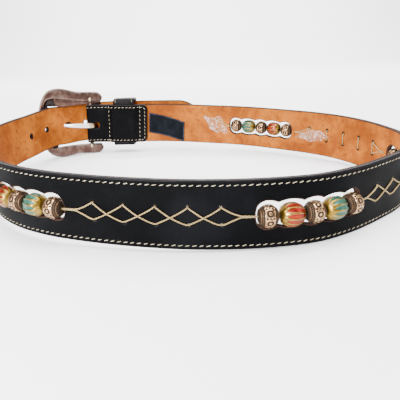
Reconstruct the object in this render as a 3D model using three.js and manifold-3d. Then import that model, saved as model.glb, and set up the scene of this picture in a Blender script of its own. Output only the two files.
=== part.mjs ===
// Beaded leather belt, fastened and standing on its lower edge.
// Millimetres, +Z up. The strap is described by its grain side, from the
// pointed tip, once around the waist, to the bar of the buckle.
import * as THREE from 'three';
import { mergeVertices } from 'three/addons/utils/BufferGeometryUtils.js';
import Module from 'manifold-3d';

const wasm = await Module();
wasm.setup();

// Strap
const WIDTH = 38;          // strap width
const MID = WIDTH / 2;     // middle line above the lower edge
const FACE = 2.0;          // grain leather
const BOND = 0.3;          // bond line between pieces, kept open
const LINING = 1.7;        // tan lining
const STRAP = FACE + BOND + LINING;

// Loop of the strap, seen from above, from the buckle's toe around to the bar
const LOOP_LONG = 311;
const LOOP_WIDE = 241.5;
const LOOP_LIFT = 11.9;    // lower edge above the floor at the bar
const LOOP = [
  // shares: along LOOP_LONG, along LOOP_WIDE, of LOOP_LIFT
  [-0.4839, 0.2925, 0.857],
  [-0.5019, 0.1923, 0.790],
  [-0.5100, 0.0896, 0.723], // left turn
  [-0.4965, -0.0122, 0.655],
  [-0.4666, -0.1083, 0.571],
  [-0.4277, -0.1990, 0.504],
  [-0.3862, -0.2872, 0.462],
  [-0.3286, -0.3588, 0.420],
  [-0.2592, -0.4106, 0.370],
  [-0.1833, -0.4449, 0.303],
  [-0.1051, -0.4698, 0.235], // front
  [-0.0135, -0.4884, 0.160],
  [0.0669, -0.4921, 0.101],
  [0.1469, -0.4855, 0.059],
  [0.2254, -0.4631, 0.017],
  [0.2971, -0.4172, 0.000], // rests on the floor
  [0.3627, -0.3576, 0.000],
  [0.4241, -0.2905, 0.000],
  [0.4714, -0.2077, 0.017], // right turn
  [0.4900, -0.1079, 0.076],
  [0.4817, -0.0052, 0.143],
  [0.4566, 0.0934, 0.227],
  [0.4141, 0.1807, 0.311],
  [0.3543, 0.2499, 0.395],
  [0.2868, 0.3058, 0.471],
  [0.2170, 0.3571, 0.555], // back
  [0.1437, 0.3990, 0.630],
  [0.0669, 0.4296, 0.697],
  [-0.0106, 0.4569, 0.765],
  [-0.0897, 0.4723, 0.832],
  [-0.1701, 0.4760, 0.882],
  [-0.2502, 0.4814, 0.941],
  [-0.2949, 0.4830, 0.983],
  [-0.3318, 0.4863, 1.000], // over the heel bar
];

// Beads: length and radius, then the half profile in shares of the two
const METAL_LONG = 10.6;
const METAL_R = 6.1;
const BARREL_LONG = 13.4;
const BARREL_R = 6.5;
const BEAD_SIDES = 12;
const BORE = 1.9;
const BEAD_MOUTH = 2.0;    // radius of the flat rim around the bore
const BEADS = {
  metal: { length: METAL_LONG, radius: METAL_R, profile: [[0.85, 0.64], [1, 0.17]] },
  barrel: { length: BARREL_LONG, radius: BARREL_R, profile: [[0.8, 0.73], [1, 0.22]] },
};
const STRING = [
  // letter, kind, colour
  ['a', 'metal', 'gold'],
  ['b', 'barrel', 'red'],
  ['c', 'metal', 'gold'],
  ['d', 'barrel', 'green'],
  ['e', 'metal', 'gold'],
];
const CORD = 1.2;
const CORD_SIDES = 6;
const BEAD_GAP = 0.7;
const BEAD_OUT = 0.3;      // string stands this far outside the grain side
const BEAD_SAG = 0.5;      // and this far below the middle line

// Bead windows and lacing, measured along the strap
const PATTERN_BACK = 398.8; // from the bar to the middle of the short lacing
const WINDOW_ROOM = 0.6;    // past the last bead at each end
const PEAK_ROOM = 1.1;      // over each bead
const CUSP_DROP = 1.4;      // cusps between two beads, under the peaks
const WINDOW_END = 1.6;     // half height left at the rounded ends
const LACE_PITCH = 16.86;   // from one pair of lacing holes to the next
const LACE_RISE = 4.85;     // lacing holes above and below the middle line
const LACE_HOLE = 1.6;
const LONG_LEAD = 17.73;    // window end to first hole, long lacing of five
const SHORT_LEAD = 16.73;   // window end to first hole, short lacing of two
const LONG_PAIRS = 5;
const SHORT_PAIRS = 2;

// Tip, lying outside the buckle end of the strap
const TAIL = 119;           // reaches this far back from the bar
const TAIL_GAP = 0.65;      // clear of the strap under it
const TAIL_RISE = 4.0;      // its end stands this much higher
const TAIL_ROWS = [
  // shares: of TAIL back from the bar, of TAIL_GAP, of TAIL_RISE
  [1.0, 1.0, 1.0],
  [0.85, 1.0, 0.93],
  [0.63, 1.1, 0.83],
  [0.42, 1.0, 0.78],
  [0.2, 1.7, 0.69],
  [0.0, 1.85, 0.32],
];
const POINT = 26;           // length of the pointed end
const POINT_SHAPE = [
  // shares: of POINT, of half the strap's width
  [0, 0.237], [0.154, 0.453], [0.346, 0.642], [0.577, 0.811], [0.769, 0.926], [1, 1],
];
const TIP_HOLE = 4.6;
const TIP_HOLE_PITCH = 22.9;
const TIP_HOLE_FROM = 31.7; // the hole on the prong, past the bar
const TIP_HOLES = [-2, -1, 0, 1, 2];

// Buckle: a heel bar, two rails and a flared toe, cast in one
const BAR_R = 1.9;
const FOLD_R = BAR_R + BOND;     // inside of the leather around the bar
const FRAME_LONG = 50.6;         // heel bar to the outside of the toe
const FRAME_TURN = 25;           // frame swings in from the back line, degrees
const FRAME_LEAN = 5;            // toe stands higher than the heel, degrees
const FRAME_UP = 0.74;           // middle of the bar above the strap's middle
const FRAME_T = 4.2;
const FRAME_BEVEL = 1.1;
const HEEL_T = 1.6;              // thickness of the knobs behind the bar
const FRAME_OUTLINE = [
  // shares: of FRAME_LONG from the heel bar, half height of WIDTH
  [-0.241, 0.595], [-0.233, 0.716], [-0.182, 0.795], [-0.099, 0.824], [0.079, 0.821],
  [0.257, 0.821], [0.415, 0.863], [0.553, 0.895], [0.672, 0.889], [0.781, 0.842],
  [0.870, 0.726], [0.939, 0.553], [0.980, 0.342], [1.000, 0.132],
];
const FRAME_OPENING = [
  [0.051, 0.558], [0.395, 0.584], [0.672, 0.624], [0.791, 0.621], [0.868, 0.547],
  [0.897, 0.405], [0.903, 0.184],
];
const RAIL_ROOM = 2.3;           // rails stand clear of the strap behind the bar
const BUCKLE_ROWS = [
  // strap through the buckle, shares of FRAME_LONG from the bar: x, y, rise
  [-0.2866, 0.0652, 0.0198],
  [-0.5316, -0.1245, 0.0079],    // hole on the prong
  [-0.6917, -0.3004, 0.0198],
  [-0.8103, -0.5079, -0.002],    // inside the toe
];

// Prong
const PRONG_HALF = 1.5;
const PRONG_T = 2.0;
const PRONG = [
  // shares: of FRAME_LONG, out of FRAME_T, of PRONG_HALF, of PRONG_T
  [0.000, -0.786, 1.53, 1.0],
  [0.178, -0.738, 1.47, 1.0],
  [0.356, -0.381, 1.27, 1.0],
  [0.474, 0.190, 1.07, 1.0],
  [0.573, 0.857, 1.00, 1.0],
  [0.711, 1.190, 1.00, 1.0],
  [0.850, 1.000, 1.00, 1.0],
  [1.008, 0.857, 0.87, 0.9],
];
const PRONG_LOW = 2.5;           // prong rides this far under the frame's middle
const PRONG_LOOP = 1.7;          // wall of the prong's loop around the bar
const PRONG_ROOM = 0.7;          // clear leather around the prong
const SLOT_HALF = 3.2;           // prong slot in the fold
const SLOT_BACK = 9.6;           // slot length behind the bar

// Fold, with the keeper's ends caught under the flap, and the label
const FLAP_END = 58.6;           // flap reaches this far back from the bar
const FLAP_ROUND = 5;
const LINING_STOP = 9.5;         // lining stops short of the bar
const KEEPER_FROM = 24.1;        // distances back from the bar
const KEEPER_WIDE = 21.4;
const KEEPER_T = 1.8;
const KEEPER_UNDER = 1.7;        // clear under the strap
const KEEPER_OVER = 1.2;         // clear over the tip
const KEEPER_ROOM = 1.0;         // clear outside the tip
const KEEPER_ROUND = 2.5;
const FLAP_SLOPE = 4.2;          // flap climbs over the keeper in this length
const LABEL_FROM = 60.4;
const LABEL_LONG = 37.6;
const LABEL_T = 0.6;
const LABEL_TALL = 20.2;
const LABEL_NEAR = 9.6;          // lower corners above the strap's lower edge
const LABEL_FAR = 0.2;

// A smooth curve through points, measured along its run seen from above
const FINE = 6000;
const FEEL = 4;            // neighbours looked at for the direction
function measured(points) {
  const curve = new THREE.CatmullRomCurve3(points, false, 'centripetal');
  const fine = curve.getPoints(FINE);
  const run = [0];
  for (let i = 1; i <= FINE; i += 1) {
    run.push(run[i - 1] + Math.hypot(fine[i].x - fine[i - 1].x, fine[i].y - fine[i - 1].y));
  }
  const length = run[FINE];

  // Point at a distance along the run, with the outward direction
  function at(distance) {
    const d = Math.min(Math.max(distance, 0), length);
    let low = 0;
    let high = FINE;
    while (high - low > 1) {
      const half = (low + high) >> 1;
      if (run[half] > d) high = half;
      else low = half;
    }
    const t = (d - run[low]) / (run[high] - run[low]);
    const p = fine[low].clone().lerp(fine[high], t);
    const a = fine[Math.max(low - FEEL, 0)];
    const b = fine[Math.min(high + FEEL, FINE)];
    const l = Math.hypot(b.x - a.x, b.y - a.y);
    const tx = (b.x - a.x) / l;
    const ty = (b.y - a.y) / l;
    return { x: p.x, y: p.y, lift: p.z, nx: ty, ny: -tx, tx, ty };
  }
  return { at, length };
}

// Course of the strap: the loop first, then the tip laid along the loop's own end
const loopPoints = LOOP.map(([x, y, lift]) => (
  new THREE.Vector3(x * LOOP_LONG, y * LOOP_WIDE, lift * LOOP_LIFT)
));
const loop = measured(loopPoints);
const heel = loop.at(loop.length);
const barX = heel.x;
const barY = heel.y - FACE - FOLD_R;
const tailPoints = TAIL_ROWS.map(([back, gap, rise]) => {
  const p = loop.at(loop.length - back * TAIL);
  const out = STRAP + gap * TAIL_GAP;
  return new THREE.Vector3(p.x + p.nx * out, p.y + p.ny * out, p.lift + rise * TAIL_RISE);
});
const bucklePoints = BUCKLE_ROWS.map(([x, y, rise]) => new THREE.Vector3(
  barX + x * FRAME_LONG, barY + y * FRAME_LONG, LOOP_LIFT + rise * FRAME_LONG,
));
const strap = measured([...tailPoints, ...bucklePoints, ...loopPoints]);
const tail = measured(tailPoints);
const at = strap.at;
const LENGTH = strap.length;

// Distances for the cross-sections: close together only where the strap turns
function stops(from, to, turn = 7.5, longest = 18) {
  const list = [from];
  let last = at(from);
  for (let d = from; d < to; d += 0.5) {
    const p = at(d);
    const swing = Math.acos(Math.min(1, p.tx * last.tx + p.ty * last.ty)) * 180 / Math.PI;
    if (swing > turn || d - list[list.length - 1] > longest) {
      if (to - d < 2) break;
      list.push(d);
      last = p;
    }
  }
  list.push(to);
  return list;
}

// Value between the rows of a short table
function between(table, value) {
  if (value <= table[0][0]) return table[0][1];
  for (let i = 1; i < table.length; i += 1) {
    const [x0, y0] = table[i - 1];
    const [x1, y1] = table[i];
    if (value <= x1) return y0 + (y1 - y0) * (value - x0) / (x1 - x0);
  }
  return table[table.length - 1][1];
}

// Closed body through sections, each a ring of [x, y, z] corners in turn
function loft(sections) {
  const position = sections.flat(2);
  const index = [];
  const corners = sections[0].length;
  for (let i = 0; i + 1 < sections.length; i += 1) {
    for (let k = 0; k < corners; k += 1) {
      const a = i * corners + k;
      const b = i * corners + (k + 1) % corners;
      index.push(a, b, a + corners, b, b + corners, a + corners);
    }
  }
  const end = (sections.length - 1) * corners;
  for (let k = 1; k + 1 < corners; k += 1) {
    index.push(0, k + 1, k);
    index.push(end, end + k, end + k + 1);
  }
  const geometry = new THREE.BufferGeometry();
  geometry.setAttribute('position', new THREE.Float32BufferAttribute(position, 3));
  geometry.setIndex(index);
  return faceOut(geometry);
}

// Turn the faces over when the enclosed volume comes out negative
function faceOut(geometry) {
  const p = geometry.attributes.position;
  const index = geometry.index.array;
  const a = new THREE.Vector3();
  const b = new THREE.Vector3();
  const c = new THREE.Vector3();
  let volume = 0;
  for (let i = 0; i < index.length; i += 3) {
    a.fromBufferAttribute(p, index[i]);
    b.fromBufferAttribute(p, index[i + 1]);
    c.fromBufferAttribute(p, index[i + 2]);
    volume += a.dot(b.clone().cross(c));
  }
  if (volume < 0) {
    for (let i = 0; i < index.length; i += 3) {
      [index[i + 1], index[i + 2]] = [index[i + 2], index[i + 1]];
    }
  }
  return geometry;
}

function toSolid(source) {
  const bare = source.clone();
  bare.deleteAttribute('normal');
  bare.deleteAttribute('uv');
  const welded = mergeVertices(bare, 1e-4);
  const mesh = new wasm.Mesh({
    numProp: 3,
    vertProperties: new Float32Array(welded.attributes.position.array),
    triVerts: new Uint32Array(welded.index.array),
  });
  mesh.merge();
  return new wasm.Manifold(mesh);
}

function toGeometry(solid) {
  const mesh = solid.getMesh();
  const geometry = new THREE.BufferGeometry();
  geometry.setAttribute('position', new THREE.Float32BufferAttribute(mesh.vertProperties, 3));
  geometry.setIndex(Array.from(mesh.triVerts));
  return geometry;
}

// Cross-section of a strip lying between two depths under the grain side
function section(p, outer, inner, low, high) {
  return [
    [p.x - p.nx * outer, p.y - p.ny * outer, low],
    [p.x - p.nx * inner, p.y - p.ny * inner, low],
    [p.x - p.nx * inner, p.y - p.ny * inner, high],
    [p.x - p.nx * outer, p.y - p.ny * outer, high],
  ];
}

function strapSection(distance, outer, inner) {
  const p = at(distance);
  const half = between(POINT_SHAPE, distance / POINT) * MID;
  return section(p, outer, inner, p.lift + MID - half, p.lift + MID + half);
}

function strapStops() {
  const labelNear = LENGTH - LABEL_FROM;
  const labelFar = labelNear - LABEL_LONG;
  return [
    ...POINT_SHAPE.map(([share]) => share * POINT),
    ...stops(POINT, labelFar).slice(1),
    ...stops(labelFar, labelNear).slice(1),
    ...stops(labelNear, LENGTH - LINING_STOP).slice(1),
  ];
}

// The string of beads: centre of each bead from the middle of the string
const longs = STRING.map(([, kind]) => BEADS[kind].length);
const strung = longs.reduce((sum, v) => sum + v + BEAD_GAP, -BEAD_GAP);
const centres = longs.map((v, i) => (
  longs.slice(0, i).reduce((sum, w) => sum + w + BEAD_GAP, -strung / 2) + v / 2
));
const windowHalf = strung / 2 + WINDOW_ROOM;
const windowPeak = Math.max(METAL_R, BARREL_R) + PEAK_ROOM;

// Window: one arc over each bead, the ends rounded
function windowOutline() {
  const rows = [];
  const arc = (share, floor) => floor + (windowPeak - floor) * Math.sqrt(1 - share * share);
  centres.forEach((centre, i) => {
    const reach = (longs[i] + BEAD_GAP) / 2;
    const first = i === 0;
    const last = i === centres.length - 1;
    const before = first ? [-1, -0.97, -0.71, 0] : [-0.6, 0];
    const after = last ? [0.71, 0.97, 1] : [0.6, 1];
    for (const share of before) {
      const end = first ? centre + windowHalf : reach;
      rows.push([centre + share * end, arc(share, first ? WINDOW_END : windowPeak - CUSP_DROP)]);
    }
    for (const share of after) {
      const end = last ? windowHalf - centre : reach;
      rows.push([centre + share * end, arc(share, last ? WINDOW_END : windowPeak - CUSP_DROP)]);
    }
  });
  return rows;
}

const PROUD = 3;           // cutters stand this far out of the leather
function windowCutter(middle) {
  const sections = windowOutline().map(([offset, half]) => {
    const p = at(middle + offset);
    return section(p, -PROUD, STRAP + PROUD, p.lift + MID - half, p.lift + MID + half);
  });
  return toSolid(loft(sections));
}

// Round hole through the strap at a distance from the tip end and a height
function holeCutter(distance, rise, diameter, sides) {
  const p = at(distance);
  const geometry = new THREE.CylinderGeometry(diameter / 2, diameter / 2, STRAP + PROUD, sides);
  geometry.rotateZ(Math.atan2(-p.nx, p.ny));
  geometry.translate(p.x - p.nx * STRAP / 2, p.y - p.ny * STRAP / 2, p.lift + MID + rise);
  return toSolid(geometry);
}

const patternMid = LENGTH - PATTERN_BACK;
const shortSpan = (SHORT_PAIRS - 1) * LACE_PITCH + 2 * SHORT_LEAD;
const longSpan = (LONG_PAIRS - 1) * LACE_PITCH + 2 * LONG_LEAD;
const near = shortSpan / 2 + windowHalf;
const far = near + 2 * windowHalf + longSpan;
const windows = [-far, -near, near, far].map((offset) => patternMid + offset);
const longMiddle = (far + near) / 2;
const lacings = [
  // middle of the lacing, number of pairs
  [patternMid - longMiddle, LONG_PAIRS],
  [patternMid, SHORT_PAIRS],
  [patternMid + longMiddle, LONG_PAIRS],
];
const LACE_HOLE_SIDES = 6;
const TIP_HOLE_SIDES = 10;
const cutters = windows.map(windowCutter);
for (const [middle, pairs] of lacings) {
  for (let k = 0; k < pairs; k += 1) {
    const d = middle + (k - (pairs - 1) / 2) * LACE_PITCH;
    cutters.push(holeCutter(d, LACE_RISE, LACE_HOLE, LACE_HOLE_SIDES));
    cutters.push(holeCutter(d, -LACE_RISE, LACE_HOLE, LACE_HOLE_SIDES));
  }
}
const prongHole = tail.length + TIP_HOLE_FROM;
for (const k of TIP_HOLES) {
  cutters.push(holeCutter(prongHole + k * TIP_HOLE_PITCH, 0, TIP_HOLE, TIP_HOLE_SIDES));
}
const pierced = wasm.Manifold.union(cutters);

// Buckle frame in its own plane: first axis along the frame, second up, third outward
const barZ = heel.lift + MID + FRAME_UP;
const turn = THREE.MathUtils.degToRad(FRAME_TURN);
const lean = THREE.MathUtils.degToRad(FRAME_LEAN);
const along = new THREE.Vector3(-Math.cos(turn), -Math.sin(turn), 0);
const outward = new THREE.Vector3(-Math.sin(turn), Math.cos(turn), 0);
const upward = new THREE.Vector3(0, 0, 1);
const leanedAlong = along.clone().multiplyScalar(Math.cos(lean)).addScaledVector(upward, Math.sin(lean));
const leanedUp = upward.clone().multiplyScalar(Math.cos(lean)).addScaledVector(along, -Math.sin(lean));
const place = new THREE.Matrix4().makeBasis(leanedAlong, leanedUp, outward);
place.setPosition(barX, barY, barZ);

// Prong: a bar from the heel bar through the third hole onto the toe
function prongBody(rows, room) {
  return loft(rows.map(([u, out, half, thick]) => {
    const x = u * FRAME_LONG;
    const wide = half * PRONG_HALF + room;
    const deep = (thick * PRONG_T) / 2 + room;
    return [
      [x, -PRONG_LOW - wide, out * FRAME_T - deep],
      [x, -PRONG_LOW + wide, out * FRAME_T - deep],
      [x, -PRONG_LOW + wide, out * FRAME_T + deep],
      [x, -PRONG_LOW - wide, out * FRAME_T + deep],
    ];
  })).applyMatrix4(place);
}
const prongRoom = toSolid(prongBody(PRONG.slice(2, 6), PRONG_ROOM));

// Depth of the flap under the grain side: on the strap, and out over the keeper
const flapLow = STRAP + BOND;
const keeperIn = STRAP + 1.4 * BOND;
const flapHigh = keeperIn + KEEPER_T + BOND;
const keeperEnd = KEEPER_FROM + KEEPER_WIDE;
const FLAP_ROWS = [
  [0, 2 * FOLD_R + FACE],
  [LINING_STOP, flapLow + BOND],
  [KEEPER_FROM - FLAP_SLOPE, flapLow],
  [KEEPER_FROM - KEEPER_ROOM, flapHigh],
  [keeperEnd + KEEPER_ROOM, flapHigh],
  [keeperEnd + FLAP_SLOPE, flapLow],
];

// Grain leather: around the waist, over the heel bar and back as the flap
const FOLD_STEPS = 10;
const faceSections = strapStops().map((d) => strapSection(d, 0, FACE));
for (let k = 0; k <= FOLD_STEPS; k += 1) {
  const angle = Math.PI / 2 + (Math.PI * k) / FOLD_STEPS;
  const nx = Math.cos(angle);
  const ny = Math.sin(angle);
  const p = { x: barX + nx * (FOLD_R + FACE), y: barY + ny * (FOLD_R + FACE), nx, ny };
  faceSections.push(section(p, 0, FACE, heel.lift, heel.lift + WIDTH));
}
const flapStops = [
  LINING_STOP, KEEPER_FROM - FLAP_SLOPE, KEEPER_FROM - KEEPER_ROOM, (KEEPER_FROM + keeperEnd) / 2,
  keeperEnd + KEEPER_ROOM, keeperEnd + FLAP_SLOPE, FLAP_END - FLAP_ROUND,
];
for (let k = 1; k <= 3; k += 1) {
  flapStops.push(FLAP_END - FLAP_ROUND + FLAP_ROUND * Math.sin((k * Math.PI) / 6));
}
for (const back of flapStops) {
  const p = at(LENGTH - back);
  const over = Math.max(0, back - (FLAP_END - FLAP_ROUND));
  const cut = FLAP_ROUND - Math.sqrt(FLAP_ROUND * FLAP_ROUND - over * over);
  const depth = between(FLAP_ROWS, back);
  faceSections.push(section(p, depth + FACE, depth, p.lift + cut, p.lift + WIDTH - cut));
}
const SLOT_AHEAD = 8;      // slot cutter starts this far ahead of the bar
const slotDeep = 2 * (FOLD_R + FACE) + PROUD;
const slotBox = new THREE.BoxGeometry(SLOT_BACK + SLOT_AHEAD, slotDeep, 2 * SLOT_HALF);
slotBox.translate(barX + (SLOT_BACK - SLOT_AHEAD) / 2, barY - BOND * 2.7, barZ - PRONG_LOW + BOND);
const faceSolid = toSolid(loft(faceSections))
  .subtract(pierced)
  .subtract(toSolid(slotBox))
  .subtract(prongRoom);

// Lining: from the tip to just before the bar
const liningSections = strapStops().map((d) => strapSection(d, FACE + BOND, STRAP));
const liningSolid = toSolid(loft(liningSections)).subtract(pierced).subtract(prongRoom);

// Buckle frame, open behind the heel bar
const railInner = MID + RAIL_ROOM;
const rail = (rows, side) => rows.map(([u, h]) => (
  new THREE.Vector2(u * FRAME_LONG, side * h * WIDTH)
));
const knob = FRAME_OUTLINE[0][0] * FRAME_LONG + HEEL_T;
const ring = new THREE.Shape([
  ...rail(FRAME_OUTLINE, 1),
  ...rail(FRAME_OUTLINE, -1).reverse(),
  new THREE.Vector2(knob, -railInner),
  ...rail(FRAME_OPENING, -1),
  ...rail(FRAME_OPENING, 1).reverse(),
  new THREE.Vector2(knob, railInner),
]);
const ringGeometry = new THREE.ExtrudeGeometry(ring, {
  depth: FRAME_T - 2 * FRAME_BEVEL,
  bevelEnabled: true,
  bevelThickness: FRAME_BEVEL,
  bevelSize: FRAME_BEVEL,
  bevelOffset: -FRAME_BEVEL,
  bevelSegments: 1,
});
ringGeometry.translate(0, 0, FRAME_BEVEL - FRAME_T / 2);
ringGeometry.applyMatrix4(place);
const BAR_SIDES = 12;
function barCylinder(radius, length, z) {
  const geometry = new THREE.CylinderGeometry(radius, radius, length, BAR_SIDES);
  geometry.rotateX(Math.PI / 2);
  geometry.translate(barX, barY, z);
  return toSolid(geometry);
}
const frameSolid = toSolid(ringGeometry).add(barCylinder(BAR_R, 2 * (railInner + PROUD), barZ));
const prongWide = 2 * PRONG[0][2] * PRONG_HALF;
const prongSolid = toSolid(prongBody(PRONG, 0))
  .add(barCylinder(BAR_R + BOND + PRONG_LOOP, prongWide, barZ - PRONG_LOW))
  .subtract(barCylinder(BAR_R + 1.5 * BOND, WIDTH, barZ - PRONG_LOW));

// Keeper: a band around the strap and the tip, its inner leg under the flap
function roundedRing(x0, x1, y0, y1, r) {
  const path = new THREE.Shape();
  path.moveTo(x0 + r, y0);
  path.lineTo(x1 - r, y0);
  path.absarc(x1 - r, y0 + r, r, -Math.PI / 2, 0);
  path.lineTo(x1, y1 - r);
  path.absarc(x1 - r, y1 - r, r, 0, Math.PI / 2);
  path.lineTo(x0 + r, y1);
  path.absarc(x0 + r, y1 - r, r, Math.PI / 2, Math.PI);
  path.lineTo(x0, y0 + r);
  path.absarc(x0 + r, y0 + r, r, Math.PI, 1.5 * Math.PI);
  return path;
}
const keeperBack = KEEPER_FROM + KEEPER_WIDE / 2;
const keeperAt = at(LENGTH - keeperBack);
const tailRise = TAIL_ROWS.map(([back, , rise]) => [back * TAIL, rise * TAIL_RISE]).reverse();
const keeperTip = between(tailRise, keeperBack);
const keeperTop = keeperAt.lift + keeperTip + WIDTH + KEEPER_OVER;
const keeperFoot = keeperAt.lift - KEEPER_UNDER;
const keeperOut = STRAP + TAIL_GAP * TAIL_ROWS[TAIL_ROWS.length - 1][1] + KEEPER_ROOM;
const keeperShape = roundedRing(
  -keeperIn - KEEPER_T, keeperOut + KEEPER_T, keeperFoot - KEEPER_T, keeperTop + KEEPER_T, KEEPER_ROUND,
);
keeperShape.holes.push(roundedRing(
  -keeperIn, keeperOut, keeperFoot, keeperTop, KEEPER_ROUND - KEEPER_T,
));
const keeperGeometry = new THREE.ExtrudeGeometry(keeperShape, {
  depth: KEEPER_WIDE, bevelEnabled: false, curveSegments: 3,
});
keeperGeometry.translate(0, 0, -KEEPER_WIDE / 2);
const keeperPlace = new THREE.Matrix4().makeBasis(
  new THREE.Vector3(keeperAt.nx, keeperAt.ny, 0),
  upward,
  new THREE.Vector3(-keeperAt.tx, -keeperAt.ty, 0),
);
keeperPlace.setPosition(keeperAt.x, keeperAt.y, 0);
keeperGeometry.applyMatrix4(keeperPlace);

// Label: a plain woven patch sewn inside the back
const labelSections = stops(LENGTH - LABEL_FROM - LABEL_LONG, LENGTH - LABEL_FROM).map((d) => {
  const p = at(d);
  const share = (LENGTH - LABEL_FROM - d) / LABEL_LONG;
  const low = p.lift + LABEL_NEAR + (LABEL_FAR - LABEL_NEAR) * share;
  return section(p, STRAP + BOND, STRAP + BOND + LABEL_T, low, low + LABEL_TALL);
});

// A drilled bead turned about its own length
function beadGeometry(kind) {
  const { length, radius, profile } = BEADS[kind];
  const end = length / 2;
  const half = [
    [BORE / 2, end],
    [BEAD_MOUTH, end],
    ...profile.map(([r, x]) => [r * radius, x * end]),
  ];
  const points = [
    ...half.map(([r, x]) => new THREE.Vector2(r, -x)),
    ...half.reverse().map(([r, x]) => new THREE.Vector2(r, x)),
    new THREE.Vector2(BORE / 2, -end),
  ];
  return new THREE.LatheGeometry(points, BEAD_SIDES);
}

// Centre of the bead string at a distance from the tip end
function stringPoint(distance) {
  const p = at(distance);
  return new THREE.Vector3(
    p.x + p.nx * BEAD_OUT, p.y + p.ny * BEAD_OUT, p.lift + MID - BEAD_SAG,
  );
}

// Round cord through knots
function cordGeometry(knots) {
  const sections = knots.map((p, i) => {
    const before = knots[Math.max(i - 1, 0)];
    const after = knots[Math.min(i + 1, knots.length - 1)];
    const heading = after.clone().sub(before).normalize();
    const side = new THREE.Vector3().crossVectors(upward, heading).normalize();
    const top = new THREE.Vector3().crossVectors(heading, side);
    const corners = [];
    for (let k = 0; k < CORD_SIDES; k += 1) {
      const angle = (k * 2 * Math.PI) / CORD_SIDES;
      corners.push(p.clone()
        .addScaledVector(side, Math.cos(angle) * CORD / 2)
        .addScaledVector(top, Math.sin(angle) * CORD / 2)
        .toArray());
    }
    return corners;
  });
  return loft(sections);
}

const belt = new THREE.Group();
belt.name = 'beaded_belt';

function addMesh(name, geometry, color, roughness, metalness) {
  const material = new THREE.MeshStandardMaterial({ color, roughness, metalness });
  material.name = `${name}_finish`;
  const mesh = new THREE.Mesh(geometry, material);
  mesh.name = name;
  belt.add(mesh);
}

addMesh('strap_face', toGeometry(faceSolid), 0x1d1c22, 0.5, 0);
addMesh('strap_lining', toGeometry(liningSolid), 0xb5702f, 0.8, 0);
addMesh('keeper_loop', keeperGeometry, 0x17161b, 0.55, 0);
addMesh('blank_label', loft(labelSections), 0x1b1f2a, 0.9, 0);
addMesh('buckle_frame', toGeometry(frameSolid), 0x8a685c, 0.35, 1);
addMesh('buckle_prong', toGeometry(prongSolid), 0xd9d9dc, 0.2, 1);

const FINISH = {
  // colour, roughness, metalness
  gold: [0xc9a27a, 0.3, 1],
  red: [0xc2452a, 0.25, 0.4],
  green: [0x5f9a7c, 0.25, 0.4],
};
windows.forEach((middle, w) => {
  const number = w + 1;
  const ends = STRING.map((_, i) => [-1, 1].map((side) => (
    stringPoint(middle + centres[i] + (side * longs[i]) / 2)
  )));
  const knots = [
    stringPoint(middle - windowHalf + BOND),
    ...ends.flat(),
    stringPoint(middle + windowHalf - BOND),
  ];
  addMesh(`bead_cord_${number}`, cordGeometry(knots), 0xcdb98a, 0.7, 0);
  STRING.forEach(([letter, kind, colour], i) => {
    const geometry = beadGeometry(kind);
    const [from, to] = ends[i];
    const middlePoint = from.clone().add(to).multiplyScalar(0.5);
    geometry.applyQuaternion(new THREE.Quaternion().setFromUnitVectors(
      new THREE.Vector3(0, 1, 0), to.clone().sub(from).normalize(),
    ));
    geometry.translate(middlePoint.x, middlePoint.y, middlePoint.z);
    addMesh(`bead_${number}${letter}_${colour}`, geometry, ...FINISH[colour]);
  });
});

export default belt;
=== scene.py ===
# %% [markdown]
# # A beaded leather belt
# The belt stands on its lower edge, fastened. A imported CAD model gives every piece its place.
# Here each plain solid gets a finer piece over it: soft leather, thread, cast metal, enamel.
# The belt is the thing to look at, so the studio around it is only a pale floor and soft light.

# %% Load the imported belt
import math

import bmesh
import bpy
import numpy as np
from mathutils import Matrix, Vector
from mathutils.geometry import delaunay_2d_cdt


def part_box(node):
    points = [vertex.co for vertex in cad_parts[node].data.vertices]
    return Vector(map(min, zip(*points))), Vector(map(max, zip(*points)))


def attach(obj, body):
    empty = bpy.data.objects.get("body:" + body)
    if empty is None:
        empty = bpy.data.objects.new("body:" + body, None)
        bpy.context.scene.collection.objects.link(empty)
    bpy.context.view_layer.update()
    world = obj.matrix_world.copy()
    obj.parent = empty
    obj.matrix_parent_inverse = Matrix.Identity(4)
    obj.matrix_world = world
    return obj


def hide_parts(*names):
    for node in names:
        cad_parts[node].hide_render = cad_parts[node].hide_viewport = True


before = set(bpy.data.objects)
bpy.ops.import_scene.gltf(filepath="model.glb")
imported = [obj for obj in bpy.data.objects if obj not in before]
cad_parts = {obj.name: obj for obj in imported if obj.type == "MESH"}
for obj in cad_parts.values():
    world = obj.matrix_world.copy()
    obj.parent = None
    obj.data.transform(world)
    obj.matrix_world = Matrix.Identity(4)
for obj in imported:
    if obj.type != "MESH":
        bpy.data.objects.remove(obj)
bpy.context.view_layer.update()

print("solids in the frame:", len(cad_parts))

# %% [markdown]
# The sizes come first, in millimetres, as a belt maker would note them. The strap is 38 mm wide
# and made of two leathers, black grain outside and tan inside. Everything else is placed by the
# distance along the strap, from the pointed tip to the bar of the buckle.

# %% Sizes of the strap
MM = 0.001
WIDTH = 38.0
MID = WIDTH / 2
FACE = 2.0
BOND = 0.3
LINING = 1.7
STRAP = FACE + BOND + LINING
BOND_MIDDLE = FACE + BOND / 2
HAIR = 0.01            # the two leathers meet this close to the bond line

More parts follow.
